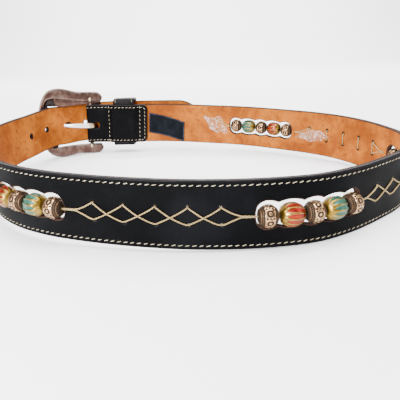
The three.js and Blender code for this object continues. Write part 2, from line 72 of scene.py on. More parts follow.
LOOP_LONG = 311
LOOP_WIDE = 241.5
LOOP_LIFT = 11.9
LOOP = [
    # shares: along LOOP_LONG, along LOOP_WIDE, of LOOP_LIFT
    (-0.4839, 0.2925, 0.857), (-0.5019, 0.1923, 0.790), (-0.5100, 0.0896, 0.723),
    (-0.4965, -0.0122, 0.655), (-0.4666, -0.1083, 0.571), (-0.4277, -0.1990, 0.504),
    (-0.3862, -0.2872, 0.462), (-0.3286, -0.3588, 0.420), (-0.2592, -0.4106, 0.370),
    (-0.1833, -0.4449, 0.303), (-0.1051, -0.4698, 0.235), (-0.0135, -0.4884, 0.160),
    (0.0669, -0.4921, 0.101), (0.1469, -0.4855, 0.059), (0.2254, -0.4631, 0.017),
    (0.2971, -0.4172, 0.000), (0.3627, -0.3576, 0.000), (0.4241, -0.2905, 0.000),
    (0.4714, -0.2077, 0.017), (0.4900, -0.1079, 0.076), (0.4817, -0.0052, 0.143),
    (0.4566, 0.0934, 0.227), (0.4141, 0.1807, 0.311), (0.3543, 0.2499, 0.395),
    (0.2868, 0.3058, 0.471), (0.2170, 0.3571, 0.555), (0.1437, 0.3990, 0.630),
    (0.0669, 0.4296, 0.697), (-0.0106, 0.4569, 0.765), (-0.0897, 0.4723, 0.832),
    (-0.1701, 0.4760, 0.882), (-0.2502, 0.4814, 0.941), (-0.2949, 0.4830, 0.983),
    (-0.3318, 0.4863, 1.000),
]
TAIL = 119
TAIL_GAP = 0.65
TAIL_RISE = 4.0
TAIL_ROWS = [
    # shares: of TAIL back from the bar, of TAIL_GAP, of TAIL_RISE
    (1.0, 1.0, 1.0), (0.85, 1.0, 0.93), (0.63, 1.1, 0.83),
    (0.42, 1.0, 0.78), (0.2, 1.7, 0.69), (0.0, 1.85, 0.32),
]
BAR_R = 1.9
FOLD_R = BAR_R + BOND
FRAME_LONG = 50.6
BUCKLE_ROWS = [
    # shares of FRAME_LONG from the bar: x, y, rise
    (-0.2866, 0.0652, 0.0198), (-0.5316, -0.1245, 0.0079),
    (-0.6917, -0.3004, 0.0198), (-0.8103, -0.5079, -0.002),
]

# %% [markdown]
# The course of the strap is one smooth curve through a few points. A centripetal Catmull-Rom
# curve is used because it never loops between uneven points. It is walked in small steps once,
# so that any distance along the strap gives a point and the outward direction.

# %% A curve measured along its run
FINE = 6000
FEEL = 4


def smooth_curve(points, fine=FINE):
    """Centripetal Catmull-Rom curve through points, in even steps of its parameter."""
    points = np.array(points, float)
    rows = np.vstack([2 * points[0] - points[1], points, 2 * points[-1] - points[-2]])
    spans = len(points) - 1
    t = np.linspace(0, spans, fine + 1)
    first = np.minimum(t.astype(int), spans - 1)
    t = (t - first)[:, None]
    p0, p1, p2, p3 = (rows[first + k] for k in range(4))

    def reach(a, b):
        return (np.sum((b - a) ** 2, axis=1) ** 0.25)[:, None]

    d0, d1, d2 = reach(p0, p1), reach(p1, p2), reach(p2, p3)
    leave = ((p1 - p0) / d0 - (p2 - p0) / (d0 + d1) + (p2 - p1) / d1) * d1
    arrive = ((p2 - p1) / d1 - (p3 - p1) / (d1 + d2) + (p3 - p2) / d2) * d1
    c2 = -3 * p1 + 3 * p2 - 2 * leave - arrive
    c3 = 2 * p1 - 2 * p2 + leave + arrive
    return p1 + leave * t + c2 * t ** 2 + c3 * t ** 3


class Run:
    """A curve whose points are found by the distance along it, seen from above."""

    def __init__(self, points):
        self.points = smooth_curve(points)
        steps = np.hypot(*np.diff(self.points[:, :2], axis=0).T)
        self.run = np.concatenate([[0], np.cumsum(steps)])
        self.length = self.run[-1]

    def at(self, distance):
        d = np.clip(distance, 0, self.length)
        low = np.clip(np.searchsorted(self.run, d, side="right") - 1, 0, FINE - 1)
        point = np.stack([np.interp(d, self.run, self.points[:, k]) for k in range(3)], -1)
        ahead = (self.points[np.minimum(low + FEEL, FINE), :2]
                 - self.points[np.maximum(low - FEEL, 0), :2])
        ahead /= np.linalg.norm(ahead, axis=-1, keepdims=True)
        outward = np.stack([ahead[..., 1], -ahead[..., 0], 0 * ahead[..., 0]], -1)
        return point, outward


loop_points = np.array(LOOP) * [LOOP_LONG, LOOP_WIDE, LOOP_LIFT]
loop = Run(loop_points)
bar_x = loop_points[-1][0]
bar_y = loop_points[-1][1] - FACE - FOLD_R
tail_points = []
for back, gap, rise in TAIL_ROWS:
    point, outward = loop.at(loop.length - back * TAIL)
    tail_points.append(point + outward * (STRAP + gap * TAIL_GAP) + [0, 0, rise * TAIL_RISE])
buckle_points = np.array([bar_x, bar_y, LOOP_LIFT]) + np.array(BUCKLE_ROWS) * FRAME_LONG
strap_run = Run([*tail_points, *buckle_points, *loop_points])
tail_run = Run(tail_points)
LENGTH = strap_run.length
print(f"strap: {LENGTH:.1f} mm from tip to bar, tip {tail_run.length:.1f} mm")

# %% [markdown]
# The grain leather goes on past the bar: around it, and back inside as a flap. One function
# places a point of the leather from its distance along the strap, its depth under the grain
# and its height from the middle line, wherever that is: strap, fold or flap.

# %% From the flat hide to the belt
FLAP_END = 58.6
FLAP_SLOPE = 4.2
LINING_STOP = 9.5
KEEPER_FROM = 24.1
KEEPER_WIDE = 21.4
KEEPER_T = 1.8
KEEPER_ROOM = 1.0
flap_low = STRAP + BOND
keeper_in = STRAP + 1.4 * BOND
flap_high = keeper_in + KEEPER_T + BOND
keeper_end = KEEPER_FROM + KEEPER_WIDE
FLAP_ROWS = np.array([
    # back from the bar, depth of the flap
    (0, 2 * FOLD_R + FACE),
    (LINING_STOP, flap_low + BOND),
    (KEEPER_FROM - FLAP_SLOPE, flap_low),
    (KEEPER_FROM - KEEPER_ROOM, flap_high),
    (keeper_end + KEEPER_ROOM, flap_high),
    (keeper_end + FLAP_SLOPE, flap_low),
])
FOLD_LONG = math.pi * (FOLD_R + FACE)
BAR_LEAN = 0.079       # the bar leans with the frame, and the fold with it
LEAN_FADES = (100.0, 140.0)
FLAP_STARTS = LENGTH + FOLD_LONG
SOFTEN = np.linspace(-1.1, 1.1, 7)


def flap_depth(back):
    """Depth of the flap under the strap's grain, its bends softened."""
    return np.mean([np.interp(back + k, *FLAP_ROWS.T) for k in SOFTEN], axis=0)


def place(distance, depth, height):
    """Point of the leather, in millimetres of the belt."""
    distance, depth, height = np.broadcast_arrays(
        np.asarray(distance, float), np.asarray(depth, float), np.asarray(height, float))
    back = np.maximum(distance - FLAP_STARTS, 0)
    on_flap = distance > FLAP_STARTS
    on_fold = (distance > LENGTH) & ~on_flap
    point, outward = strap_run.at(np.where(on_flap, LENGTH - back, distance))
    under = np.where(on_flap, flap_depth(back) + FACE - depth, depth)
    result = point - outward * under[..., None]
    angle = math.pi / 2 + math.pi * (distance - LENGTH) / FOLD_LONG
    radius = FOLD_R + FACE - depth
    folded = np.stack([bar_x + np.cos(angle) * radius, bar_y + np.sin(angle) * radius,
                       np.full_like(angle, LOOP_LIFT)], -1)
    result = np.where(on_fold[..., None], folded, result)
    from_bar = np.abs(distance - LENGTH - FOLD_LONG / 2) - FOLD_LONG / 2
    near_bar = np.clip((LEAN_FADES[1] - from_bar) / (LEAN_FADES[1] - LEAN_FADES[0]), 0, 1)
    shear = BAR_LEAN * height * near_bar ** 2 * (3 - 2 * near_bar)
    result[..., 0] += shear * np.where(on_fold, 1, outward[..., 1])
    result[..., 1] -= shear * np.where(on_fold, 0, outward[..., 0])
    result[..., 2] += MID + height
    return result


low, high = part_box("strap_face")
print("bar at", round(bar_x, 2), round(bar_y, 2), "strap box", tuple(low), tuple(high))

# %% [markdown]
# Four windows are cut in the strap for the strings of beads, each scalloped over its beads.
# Between the windows run the lacing holes, and near the tip the five holes for the prong.
# The windows are worked out from the beads that fill them.

# %% Places of beads, windows and holes
METAL_LONG = 10.6
METAL_R = 6.1
BARREL_LONG = 13.4
BARREL_R = 6.5
BORE = 1.9
BEAD_GAP = 0.7
BEAD_OUT = 0.3
BEAD_SAG = 0.5
STRING = [("a", "metal", "gold"), ("b", "barrel", "red"), ("c", "metal", "gold"),
          ("d", "barrel", "green"), ("e", "metal", "gold")]
bead_longs = [METAL_LONG if kind == "metal" else BARREL_LONG for _, kind, _ in STRING]
string_long = sum(bead_longs) + BEAD_GAP * (len(STRING) - 1)
bead_centres = []
walked = -string_long / 2
for bead_long in bead_longs:
    bead_centres.append(walked + bead_long / 2)
    walked += bead_long + BEAD_GAP

WINDOW_ROOM = 0.6
PEAK_ROOM = 1.1
CUSP_DROP = 1.4
WINDOW_END = 1.6
window_half = string_long / 2 + WINDOW_ROOM
window_peak = max(METAL_R, BARREL_R) + PEAK_ROOM
PATTERN_BACK = 398.8
LACE_PITCH = 16.86
LACE_RISE = 4.85
LACE_HOLE = 1.6
LONG_LEAD = 17.73
SHORT_LEAD = 16.73
LONG_PAIRS = 5
SHORT_PAIRS = 2
pattern_middle = LENGTH - PATTERN_BACK
near = ((SHORT_PAIRS - 1) * LACE_PITCH + 2 * SHORT_LEAD) / 2 + window_half
far = near + 2 * window_half + (LONG_PAIRS - 1) * LACE_PITCH + 2 * LONG_LEAD
windows = [pattern_middle + offset for offset in (-far, -near, near, far)]
lacings = [(pattern_middle - (far + near) / 2, LONG_PAIRS), (pattern_middle, SHORT_PAIRS),
           (pattern_middle + (far + near) / 2, LONG_PAIRS)]
TIP_WIDE = 3.8
TIP_TALL = 4.4
USED_WIDER = 2.4       # the hole on the prong has been pulled out of shape
USED_TALLER = 0.8
TIP_HOLE_PITCH = 22.9
TIP_HOLE_FROM = 31.7
prong_hole = tail_run.length + TIP_HOLE_FROM
lace_pairs = [[middle + (k - (pairs - 1) / 2) * LACE_PITCH for k in range(pairs)]
              for middle, pairs in lacings]
print("windows at", [round(w, 1) for w in windows])

# %% [markdown]
# A hide is cut flat, so the leather is drawn flat first: an outline with holes in it. Each
# outline gets rings for its rounded edge, the middle is filled with triangles by a constrained
# Delaunay fill, and only then is the sheet laid along the belt. A boolean cut would leave
# ragged faces along the windows, and this leaves none.

# %% Outlines on the flat hide
EDGE_STEP = 3.0
POINT = 26
POINT_SHAPE = [(0, 0), (0.004, 0.13), (0.05, 0.29), (0.154, 0.453), (0.346, 0.642),
               (0.577, 0.811), (0.769, 0.926), (1, 1), (1.2, 1)]


def spaced(start, stop, step):
    """Distances from start to just before stop, evenly spaced."""
    count = max(1, round(abs(stop - start) / step))
    return np.linspace(start, stop, count, endpoint=False)


def strap_outline(end, rounding, stations):
    """Pointed tip, two straight edges and the other end, counterclockwise."""
    tip = smooth_curve([(a * POINT, b * MID, 0) for a, b in POINT_SHAPE], 40)[:, :2]
    tip = tip[tip[:, 0] < POINT]
    edge = stations[(stations > POINT) & (stations < end - rounding - 0.3)]
    lower = np.stack([edge, np.full(len(edge), -MID)], -1)
    corner = []
    for turn in np.linspace(0, 90, 7 if rounding else 2):
        angle = math.radians(turn)
        corner.append((end - rounding + rounding * math.sin(angle),
                       -MID + rounding - rounding * math.cos(angle)))
    if not rounding:
        corner = [(end, -MID)]
    corner = np.array(corner)
    rise = spaced(corner[-1][1], -corner[-1][1], EDGE_STEP)[1:]
    side = np.stack([np.full(len(rise), end), rise], -1)
    half = np.vstack([tip[1:] * [1, -1], lower, corner])
    return np.vstack([tip[:1], half, side, half[::-1] * [1, -1]])


SCALLOP_STEPS = 20


def window_outline(middle):
    """Scalloped window, clockwise, so that its leather too lies on the left."""
    rows = []
    for i, (centre, bead_long) in enumerate(zip(bead_centres, bead_longs)):
        reach = (bead_long + BEAD_GAP) / 2
        for share in np.linspace(-1, 1, SCALLOP_STEPS, endpoint=False):
            outer = (i == 0 and share < 0) or (i == len(STRING) - 1 and share > 0)
            if outer:
                bow = math.sqrt(max(0.0, 1 - share * share))
                rows.append((centre + share * (window_half - abs(centre)),
                             WINDOW_END + (window_peak - WINDOW_END) * bow))
            else:
                rows.append((centre + share * reach,
                             window_peak - CUSP_DROP * share * share))
    rows.append((window_half, WINDOW_END))
    rows = np.array(rows)
    upper = rows + [middle, 0]
    return np.vstack([upper, upper[::-1] * [1, -1]])


def round_hole(distance, height, wide, tall, count=14):
    """Round or oval hole, clockwise."""
    angle = -np.arange(count) * 2 * math.pi / count
    return np.stack([distance + np.cos(angle) * wide / 2, height + np.sin(angle) * tall / 2], -1)


window_loops = [window_outline(middle) for middle in windows]
lace_loops = [round_hole(d, side * LACE_RISE, LACE_HOLE, LACE_HOLE)
              for pairs in lace_pairs for d in pairs for side in (1, -1)]
tip_loops = [round_hole(prong_hole + k * TIP_HOLE_PITCH, 0,
                        TIP_WIDE + (USED_WIDER if k == 0 else 0),
                        TIP_TALL + (USED_TALLER if k == 0 else 0), 20) for k in (-2, -1, 0, 1, 2)]
print("holes drawn:", len(window_loops), len(lace_loops), len(tip_loops))

# %% Move an outline inwards
MITRE_LIMIT = 0.55     # sharper corners than this are cut short


def inset(outline, amount):
    """Closed outline moved to its left, with mitred corners."""
    ahead = np.roll(outline, -1, axis=0) - outline
    ahead /= np.linalg.norm(ahead, axis=1)[:, None]
    left = np.stack([-ahead[:, 1], ahead[:, 0]], -1)
    bisector = left + np.roll(left, 1, axis=0)
    bisector /= np.linalg.norm(bisector, axis=1)[:, None]
    stretch = 1 / np.clip(np.sum(bisector * left, axis=1), MITRE_LIMIT, 1)
    return outline + bisector * (amount * stretch)[:, None]


# %% [markdown]
# The inside of an outline could be filled with one big polygon, but a polygon with holes can't be
# bent along the belt. So points are strewn over it in even rows, those in a hole or too close to
# an edge are dropped, and a Delaunay fill joins the rest into small triangles that can bend.

# %% Fill an outline with triangles
CLEAR_OF_EDGE = 0.75   # inner points keep this far from an outline


def encloses(outline, points):
    """Which points lie inside a closed outline."""
    x, y = points[:, 0][:, None], points[:, 1][:, None]
    x0, y0 = outline.T
    x1, y1 = np.roll(outline, -1, axis=0).T
    crosses = (y0 > y) != (y1 > y)
    rise = np.where(y1 == y0, 1, y1 - y0)
    return (np.sum(crosses & (x < (x1 - x0) * (y - y0) / rise + x0), axis=1) % 2) == 1


def fill(loops, inner):
    """Triangles between the first outline and the holes, with the inner points in them."""
    sizes = [len(loop_points) for loop_points in loops]
    starts = np.concatenate([[0], np.cumsum(sizes)])
    clear = np.ones(len(inner), bool)
    for number, outline in enumerate(loops):
        span = outline.min(0) - 1, outline.max(0) + 1
        beside = np.all((inner > span[0]) & (inner < span[1]), axis=1)
        spots = np.nonzero(beside & clear)[0]
        inside = encloses(outline, inner[spots])
        clear[spots[inside if number else ~inside]] = False
        spots = spots[clear[spots]]
        gap = np.min(np.linalg.norm(inner[spots][:, None] - outline[None], axis=2), axis=1)
        clear[spots[gap < CLEAR_OF_EDGE]] = False
    everything = np.vstack([*loops, inner[clear]])
    edges = []
    for start, size in zip(starts, sizes):
        edges += [(start + k, start + (k + 1) % size) for k in range(size)]
    made = delaunay_2d_cdt([Vector(p) for p in everything], edges, [], 1, 1e-6)
    points = np.array([tuple(p) for p in made[0]])
    where = {}
    for spot, sources in enumerate(made[3]):
        for source in sources:
            where[source] = spot
    triangles = np.array([tuple(face) for face in made[2]])
    middles = points[triangles].mean(1)
    keep = np.ones(len(triangles), bool)
    for number, outline in enumerate(loops[1:], 1):
        span = outline.min(0), outline.max(0)
        beside = np.nonzero(np.all((middles > span[0]) & (middles < span[1]), axis=1))[0]
        keep[beside[encloses(outline, middles[beside])]] = False
    rims = [[where[start + k] for k in range(size)] for start, size in zip(starts, sizes)]
    return points, triangles[keep], rims


# %% [markdown]
# A sheet of leather is closed: a top face, an under face, and a strip of rings around every
# outline. The profile says how far in and how deep each ring lies, so one function makes the
# rounded edge of the strap, the thin glue and the hem of the label.

# %% A closed sheet of leather
def sheet(name, loops, profile, inner, warp=None):
    """Closed leather sheet. profile: (inset, depth) rows from the top face to the under face.

    Its faces get material numbers: 0 top, 1 under, 2 outer edge, 3 edges of the windows,
    4 edges of the small holes.
    """
    cap_inset = profile[0][0]
    points, triangles, rims = fill([inset(outline, cap_inset) for outline in loops], inner)
    vertices, faces, kinds = [], [], []

    def add(flat, depth):
        start = sum(len(v) for v in vertices)
        distance = flat[:, 0] if warp is None else warp(flat[:, 0], flat[:, 1], depth)
        vertices.append(place(distance, depth, flat[:, 1]))
        return start

    top = add(points, profile[0][1])
    under = add(points, profile[-1][1])
    faces += [tuple(top + v for v in t) for t in triangles]
    kinds += [0] * len(triangles)
    faces += [tuple(under + v for v in reversed(t)) for t in triangles]
    kinds += [1] * len(triangles)
    for number, (outline, rim) in enumerate(zip(loops, rims)):
        ring = [top + v for v in rim]
        count = len(ring)
        for row, (amount, depth) in enumerate(profile[1:], 1):
            if row == len(profile) - 1:
                following = [under + v for v in rim]
            else:
                start = add(inset(outline, amount), depth)
                following = list(range(start, start + count))
            flat_part = profile[row - 1][1] == depth
            kind = (0 if row == 1 else 1) if flat_part else (2 if number == 0 else 3)
            if number > len(windows) and kind == 3:
                kind = 4
            for k in range(count):
                after = (k + 1) % count
                faces.append((ring[k], following[k], following[after], ring[after]))
                kinds.append(kind)
            ring = following
    return solid(name, np.vstack(vertices), faces, kinds)


# %% A mesh from its points and faces
def solid(name, vertices, faces, kinds=None):
    """Mesh object from millimetres, smooth, its faces turned outwards."""
    mesh = bpy.data.meshes.new(name)
    mesh.from_pydata((np.asarray(vertices) * MM).tolist(), [], [list(f) for f in faces])
    if kinds is not None:
        mesh.polygons.foreach_set("material_index", np.array(kinds, np.int32))
    work = bmesh.new()
    work.from_mesh(mesh)
    bmesh.ops.remove_doubles(work, verts=work.verts, dist=1e-7)
    bmesh.ops.recalc_face_normals(work, faces=work.faces)
    if work.calc_volume(signed=True) < 0:
        bmesh.ops.reverse_faces(work, faces=work.faces)
    work.to_mesh(mesh)
    work.free()
    mesh.polygons.foreach_set("use_smooth", np.ones(len(mesh.polygons), bool))
    thing = bpy.data.objects.new(name, mesh)
    bpy.context.scene.collection.objects.link(thing)
    return thing


def grid(stations, rows):
    """Inner points of a sheet."""
    return np.array([(s, h) for s in stations for h in rows])


# %% [markdown]
# Node trees are easier to read as sums. This small class wraps one socket: adding or
# multiplying two of them makes the Math node and gives back its result. It serves the materials
# and the Geometry Nodes alike, because both use the same Math node.

# %% A socket that can be calculated with
class Socket:
    """An output of a node, used as a number in Python expressions."""

    def __init__(self, tree, output):
        self.tree, self.output = tree, output

    def __getitem__(self, name):
        return Socket(self.tree, self.output.node.outputs[name])

    def math(self, operation, *terms):
        return self.tree.node("ShaderNodeMath", {"operation": operation}, terms)

    def __add__(self, other):
        return self.math("ADD", self, other)

    def __sub__(self, other):
        return self.math("SUBTRACT", self, other)

    def __rsub__(self, other):
        return self.math("SUBTRACT", other, self)

    def __mul__(self, other):
        return self.math("MULTIPLY", self, other)

    def __pow__(self, other):
        return self.math("POWER", self, other)

    __radd__ = __add__
    __rmul__ = __mul__

    def step(self, low, high):
        """0 below low, 1 above high, smooth between."""
        settings = {"interpolation_type": "SMOOTHSTEP"}
        return self.tree.node("ShaderNodeMapRange", settings, (self, low, high))

    def sine(self):
        return self.math("SINE", self)

    def absolute(self):
        return self.math("ABSOLUTE", self)


class Tree:
    """A node tree that is written one call per node."""

    def __init__(self, nodes_of):
        self.tree = nodes_of

    def node(self, kind, settings=None, sockets=(), out=0):
        made = self.tree.nodes.new(kind)
        for key, value in (settings or {}).items():
            setattr(made, key, value)
        pairs = sockets.items() if isinstance(sockets, dict) else enumerate(sockets)
        for key, value in pairs:
            self.feed(made.inputs[key], value)
        return Socket(self, made.outputs[out]) if made.outputs else made

    def feed(self, target, value):
        if isinstance(value, Socket):
            self.tree.links.new(value.output, target)
        elif value is not None:
            if isinstance(value, (tuple, list)) and len(value) == 3 and target.type == "RGBA":
                value = (*value, 1)
            target.default_value = value

    def blend(self, share, one, other):
        """Mix two colours."""
        return self.node("ShaderNodeMix", {"data_type": "RGBA"}, {0: share, 6: one, 7: other},
                         out=2)

    def noise(self, where, scale, detail=3.0, rough=0.55):
        return self.node("ShaderNodeTexNoise", None,
                         {"Vector": where, "Scale": scale, "Detail": detail, "Roughness": rough})

    def bump(self, height, distance, strength=1.0):
        return self.node("ShaderNodeBump", None,
                         {"Height": height, "Distance": distance, "Strength": strength})

    def where(self):
        """Object coordinates, in metres."""
        return self.node("ShaderNodeTexCoord", out=3)

    def carried(self, name):
        """A number that the mesh carries."""
        return self.node("ShaderNodeAttribute", {"attribute_name": name}, out=2)


def finish(name, make, preview):
    """A material whose surface sockets come from make(tree)."""
    material = bpy.data.materials.new(name)
    material.use_nodes = True
    material.diffuse_color = (*preview, 1)
    material.node_tree.nodes.clear()
    tree = Tree(material.node_tree)
    shader = tree.node("ShaderNodeBsdfPrincipled", None, make(tree))
    tree.node("ShaderNodeOutputMaterial", None, {"Surface": shader})
    print("finish:", name, len(material.node_tree.nodes), "nodes")
    return material


# %% [markdown]
# ## The leathers
# Black belt leather is dyed and waxed: nearly black, a little blue where it shines, with a
# fine pebbled grain. The tan lining is undyed: orange brown, mottled, with open fibres. The
# painted edge is smoother than both. Inside the windows the cut leather stays raw.

# %% Leather finishes
PEBBLE = 1.0 / 0.0011
FIBRE = 1.0 / 0.0006


def black_grain(tree):
    where = tree.where()
    cells = tree.node("ShaderNodeTexVoronoi", {"feature": "SMOOTH_F1"},
                      {"Vector": where, "Scale": PEBBLE, "Smoothness": 0.6})
    broad = tree.noise(where, 28.0, 4.0)
    fine = tree.noise(where, PEBBLE * 1.7, 2.0)
    worn = broad.step(0.42, 0.72)
    colour = tree.blend(worn, (0.0013, 0.0014, 0.0017), (0.0032, 0.0034, 0.0042))
    return {"Base Color": colour, "Roughness": 0.50 + 0.12 * broad - 0.06 * worn,
            "Normal": tree.bump(cells * 0.7 + fine * 0.45, 0.00010, 0.55),
            "Specular IOR Level": 0.025}


def tan_flesh(tree):
    where = tree.where()
    clouds = tree.noise(where, 42.0, 5.0, 0.62)
    spots = tree.noise(where, 240.0, 3.0, 0.6)
    fibres = tree.noise(where, FIBRE, 2.0, 0.7)
    colour = tree.blend(clouds.step(0.35, 0.68), (0.170, 0.037, 0.0022), (0.350, 0.100, 0.0075))
    colour = tree.blend(spots.step(0.50, 0.72) * 0.62, colour, (0.105, 0.020, 0.0025))
    colour = tree.blend(fibres.step(0.48, 0.76) * 0.30, colour, (0.430, 0.150, 0.028))
    return {"Base Color": colour, "Roughness": 0.62 + 0.2 * spots,
            "Normal": tree.bump(fibres * 0.6 + spots * 0.8, 0.00016, 0.5),
            "Specular IOR Level": 0.08}


def painted_edge(tree):
    where = tree.where()
    streak = tree.noise(where, 260.0, 3.0)
    colour = tree.blend(streak.step(0.4, 0.7), (0.0022, 0.0021, 0.0027), (0.0070, 0.0050, 0.0062))
    return {"Base Color": colour, "Roughness": 0.38 + 0.18 * streak,
            "Normal": tree.bump(streak, 0.00012, 0.6), "Specular IOR Level": 0.07}


def brown_edge(tree):
    where = tree.where()
    streak = tree.noise(where, 300.0, 3.0)
    colour = tree.blend(streak.step(0.35, 0.7), (0.012, 0.006, 0.004), (0.042, 0.018, 0.009))
    return {"Base Color": colour, "Roughness": 0.5 + 0.2 * streak,
            "Normal": tree.bump(streak, 0.00012, 0.6), "Specular IOR Level": 0.07}


def raw_cut(tree):
    where = tree.where()
    fibres = tree.noise(where, FIBRE, 3.0, 0.7)
    colour = tree.blend(fibres.step(0.3, 0.75), (0.014, 0.007, 0.005), (0.060, 0.030, 0.021))
    return {"Base Color": colour, "Roughness": 0.8 + 0.1 * fibres,
            "Normal": tree.bump(fibres, 0.0002, 0.7), "Specular IOR Level": 0.10}


leather_black = finish("black_grain_leather", black_grain, (0.02, 0.02, 0.02))
leather_tan = finish("tan_flesh_leather", tan_flesh, (0.6, 0.25, 0.06))
edge_black = finish("painted_edge", painted_edge, (0.02, 0.02, 0.02))
edge_brown = finish("brown_edge", brown_edge, (0.08, 0.03, 0.01))
cut_leather = finish("raw_cut_leather", raw_cut, (0.3, 0.15, 0.1))

# %% [markdown]
# Both leathers are cut from the same outlines. Their edges are rounded on the side that shows
# and crisp where they are glued together. The slot for the prong crosses the fold.

# %% Edges and steps of the two leathers
ROUND = 0.75           # rounding of the grain edge
CRISP = 0.12           # hardly any rounding at the bond line
SUPPORT = 0.55         # flat rim before the rounding
TIP_STEP = 2.0         # steps along the hide: at the tip, around the bar and on the flap
FOLD_STEP = 0.8
FLAP_STEP = 1.6
FOLD_MARGIN = 2.0      # the fine steps of the fold start this far before it
rows = np.linspace(-MID + 2.0, MID - 2.0, 12)
strap_stations = np.concatenate([spaced(1.5, POINT, TIP_STEP),
                                 spaced(POINT, LENGTH - FOLD_MARGIN, EDGE_STEP)])
fold_stations = spaced(LENGTH - FOLD_MARGIN, FLAP_STARTS + FOLD_MARGIN, FOLD_STEP)
flap_stations = spaced(FLAP_STARTS + FOLD_MARGIN, FLAP_STARTS + FLAP_END, FLAP_STEP)
face_stations = np.concatenate([strap_stations, fold_stations, flap_stations])

# %% Slot and hole for the prong
SLOT_HALF = 3.2
SLOT_BACK = 9.6
SLOT_ROUND = 2.6
SLOT_STEP = 0.9
FRAME_UP = 0.74
PRONG_LOW = 2.5
slot_height = FRAME_UP - PRONG_LOW + BOND
slot_reach = FOLD_LONG / 2 + SLOT_BACK
slot_middle = LENGTH + FOLD_LONG / 2
corner_turns = np.radians([0, 30, 60, 90])
slot_corner = [(slot_reach - SLOT_ROUND + SLOT_ROUND * math.sin(t),
                SLOT_HALF - SLOT_ROUND + SLOT_ROUND * math.cos(t)) for t in corner_turns]
slot_upper = [(s, SLOT_HALF)
              for s in spaced(-slot_reach + SLOT_ROUND, slot_reach - SLOT_ROUND, SLOT_STEP)]
slot_right = np.array(slot_upper[1:] + slot_corner)
slot_left = np.array([(-s, h) for s, h in slot_corner[::-1]])
slot_top = np.vstack([slot_left, slot_right])
slot_loop = np.vstack([slot_top, slot_top[::-1] * [1, -1]]) + [slot_middle, slot_height]

# The prong goes through its hole at a slant, so that hole leans with it
PRONG_LEAN = 1.9
LEAN_REACH = 11.0      # the leather around the hole gives way this far
LEAN_FULL = 1.25       # over one, so that the whole rim of the hole leans


def lean_hole(distance, height, depth):
    off = np.hypot(distance - prong_hole, height)
    share = np.clip(1 - off / LEAN_REACH, 0, 1)
    share = share * share * (3 - 2 * share)
    return distance + PRONG_LEAN * (STRAP / 2 - depth) * np.minimum(LEAN_FULL * share, 1)


# %% Grain leather
FLAP_ROUND = 5.0
face_outline = strap_outline(FLAP_STARTS + FLAP_END, FLAP_ROUND, face_stations)
face_profile = [(ROUND + SUPPORT, 0), (ROUND, 0), (0.50 * ROUND, 0.13 * ROUND),
                (0.13 * ROUND, 0.50 * ROUND), (0, ROUND),
                (0, BOND_MIDDLE - HAIR - CRISP), (CRISP, BOND_MIDDLE - HAIR),
                (ROUND + SUPPORT, BOND_MIDDLE - HAIR)]
grain_leather = sheet("strap_grain_leather",
                      [face_outline, *window_loops, *lace_loops, *tip_loops, slot_loop],
                      face_profile, grid(face_stations, rows), lean_hole)
for material in (leather_black, cut_leather, edge_black, cut_leather, edge_black):
    grain_leather.data.materials.append(material)
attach(grain_leather, "root")
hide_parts("strap_face")
print(f"grain leather: {FLAP_STARTS + FLAP_END:.1f} mm long,",
      len(grain_leather.data.polygons), "faces")

# %% Tan lining
lining_end = LENGTH - LINING_STOP
lining_stations = strap_stations[strap_stations < lining_end - 1]
lining_outline = strap_outline(lining_end, 0, lining_stations)
lining_profile = [(ROUND + SUPPORT, BOND_MIDDLE + HAIR), (CRISP, BOND_MIDDLE + HAIR),
                  (0, BOND_MIDDLE + HAIR + CRISP), (0, STRAP - ROUND),
                  (0.13 * ROUND, STRAP - 0.50 * ROUND), (0.50 * ROUND, STRAP - 0.13 * ROUND),
                  (ROUND, STRAP), (ROUND + SUPPORT, STRAP)]
tan_lining = sheet("strap_tan_lining", [lining_outline, *window_loops, *lace_loops, *tip_loops],
                   lining_profile, grid(lining_stations, rows), lean_hole)
for material in (leather_tan, leather_tan, edge_brown, cut_leather, edge_brown):
    tan_lining.data.materials.append(material)
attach(tan_lining, "root")
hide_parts("strap_lining")
print(f"lining: {lining_end:.1f} mm long,", len(tan_lining.data.polygons), "faces")

# %% [markdown]
# ## Thread and cord
# Belt edges are sewn with thick cream thread: every stitch is a short dash, a little slanted,
# that dips into its two holes. Hundreds of equal things along a path are what Geometry Nodes are
# for. A path is drawn once as a row of points that carry the outward direction of the leather,
# and the tree puts one stitch at each pitch of it.

# %% A path that Geometry Nodes can follow
def path_mesh(name, lines, closed=False):
    """Mesh of edges only. lines: lists of (place, outward) rows in millimetres."""
    mesh = bpy.data.meshes.new(name)
    points, edges, outwards = [], [], []
    for spots, outward in lines:
        start = len(points)
        points += (np.asarray(spots) * MM).tolist()
        outwards += np.asarray(outward).tolist()
        edges += [(start + k, start + k + 1) for k in range(len(spots) - 1)]
        if closed:
            edges.append((start + len(spots) - 1, start))
    mesh.from_pydata(points, edges, [])
    carried = mesh.attributes.new("outward", "FLOAT_VECTOR", "POINT")
    carried.data.foreach_set("vector", np.array(outwards, np.float32).ravel())
    thing = bpy.data.objects.new(name, mesh)
    bpy.context.scene.collection.objects.link(thing)
    return thing


def on_leather(flat, above=0.0):
    """Places and outward directions for rows of (distance, height) on the grain side."""
    flat = np.asarray(flat, float)
    spots = place(flat[:, 0], -above, flat[:, 1])
    outward = place(flat[:, 0], -1.0, flat[:, 1]) - place(flat[:, 0], 0.0, flat[:, 1])
    return spots, outward


# %% [markdown]
# A tree could stay on its piece as a live modifier, but the export needs plain meshes. This
# helper builds the tree with named inputs, sets them, reads the evaluated result once, and takes
# the modifier off again.

# %% Run a Geometry Nodes tree once
INPUT_KINDS = {float: "NodeSocketFloat", int: "NodeSocketInt",
               bpy.types.Material: "NodeSocketMaterial"}


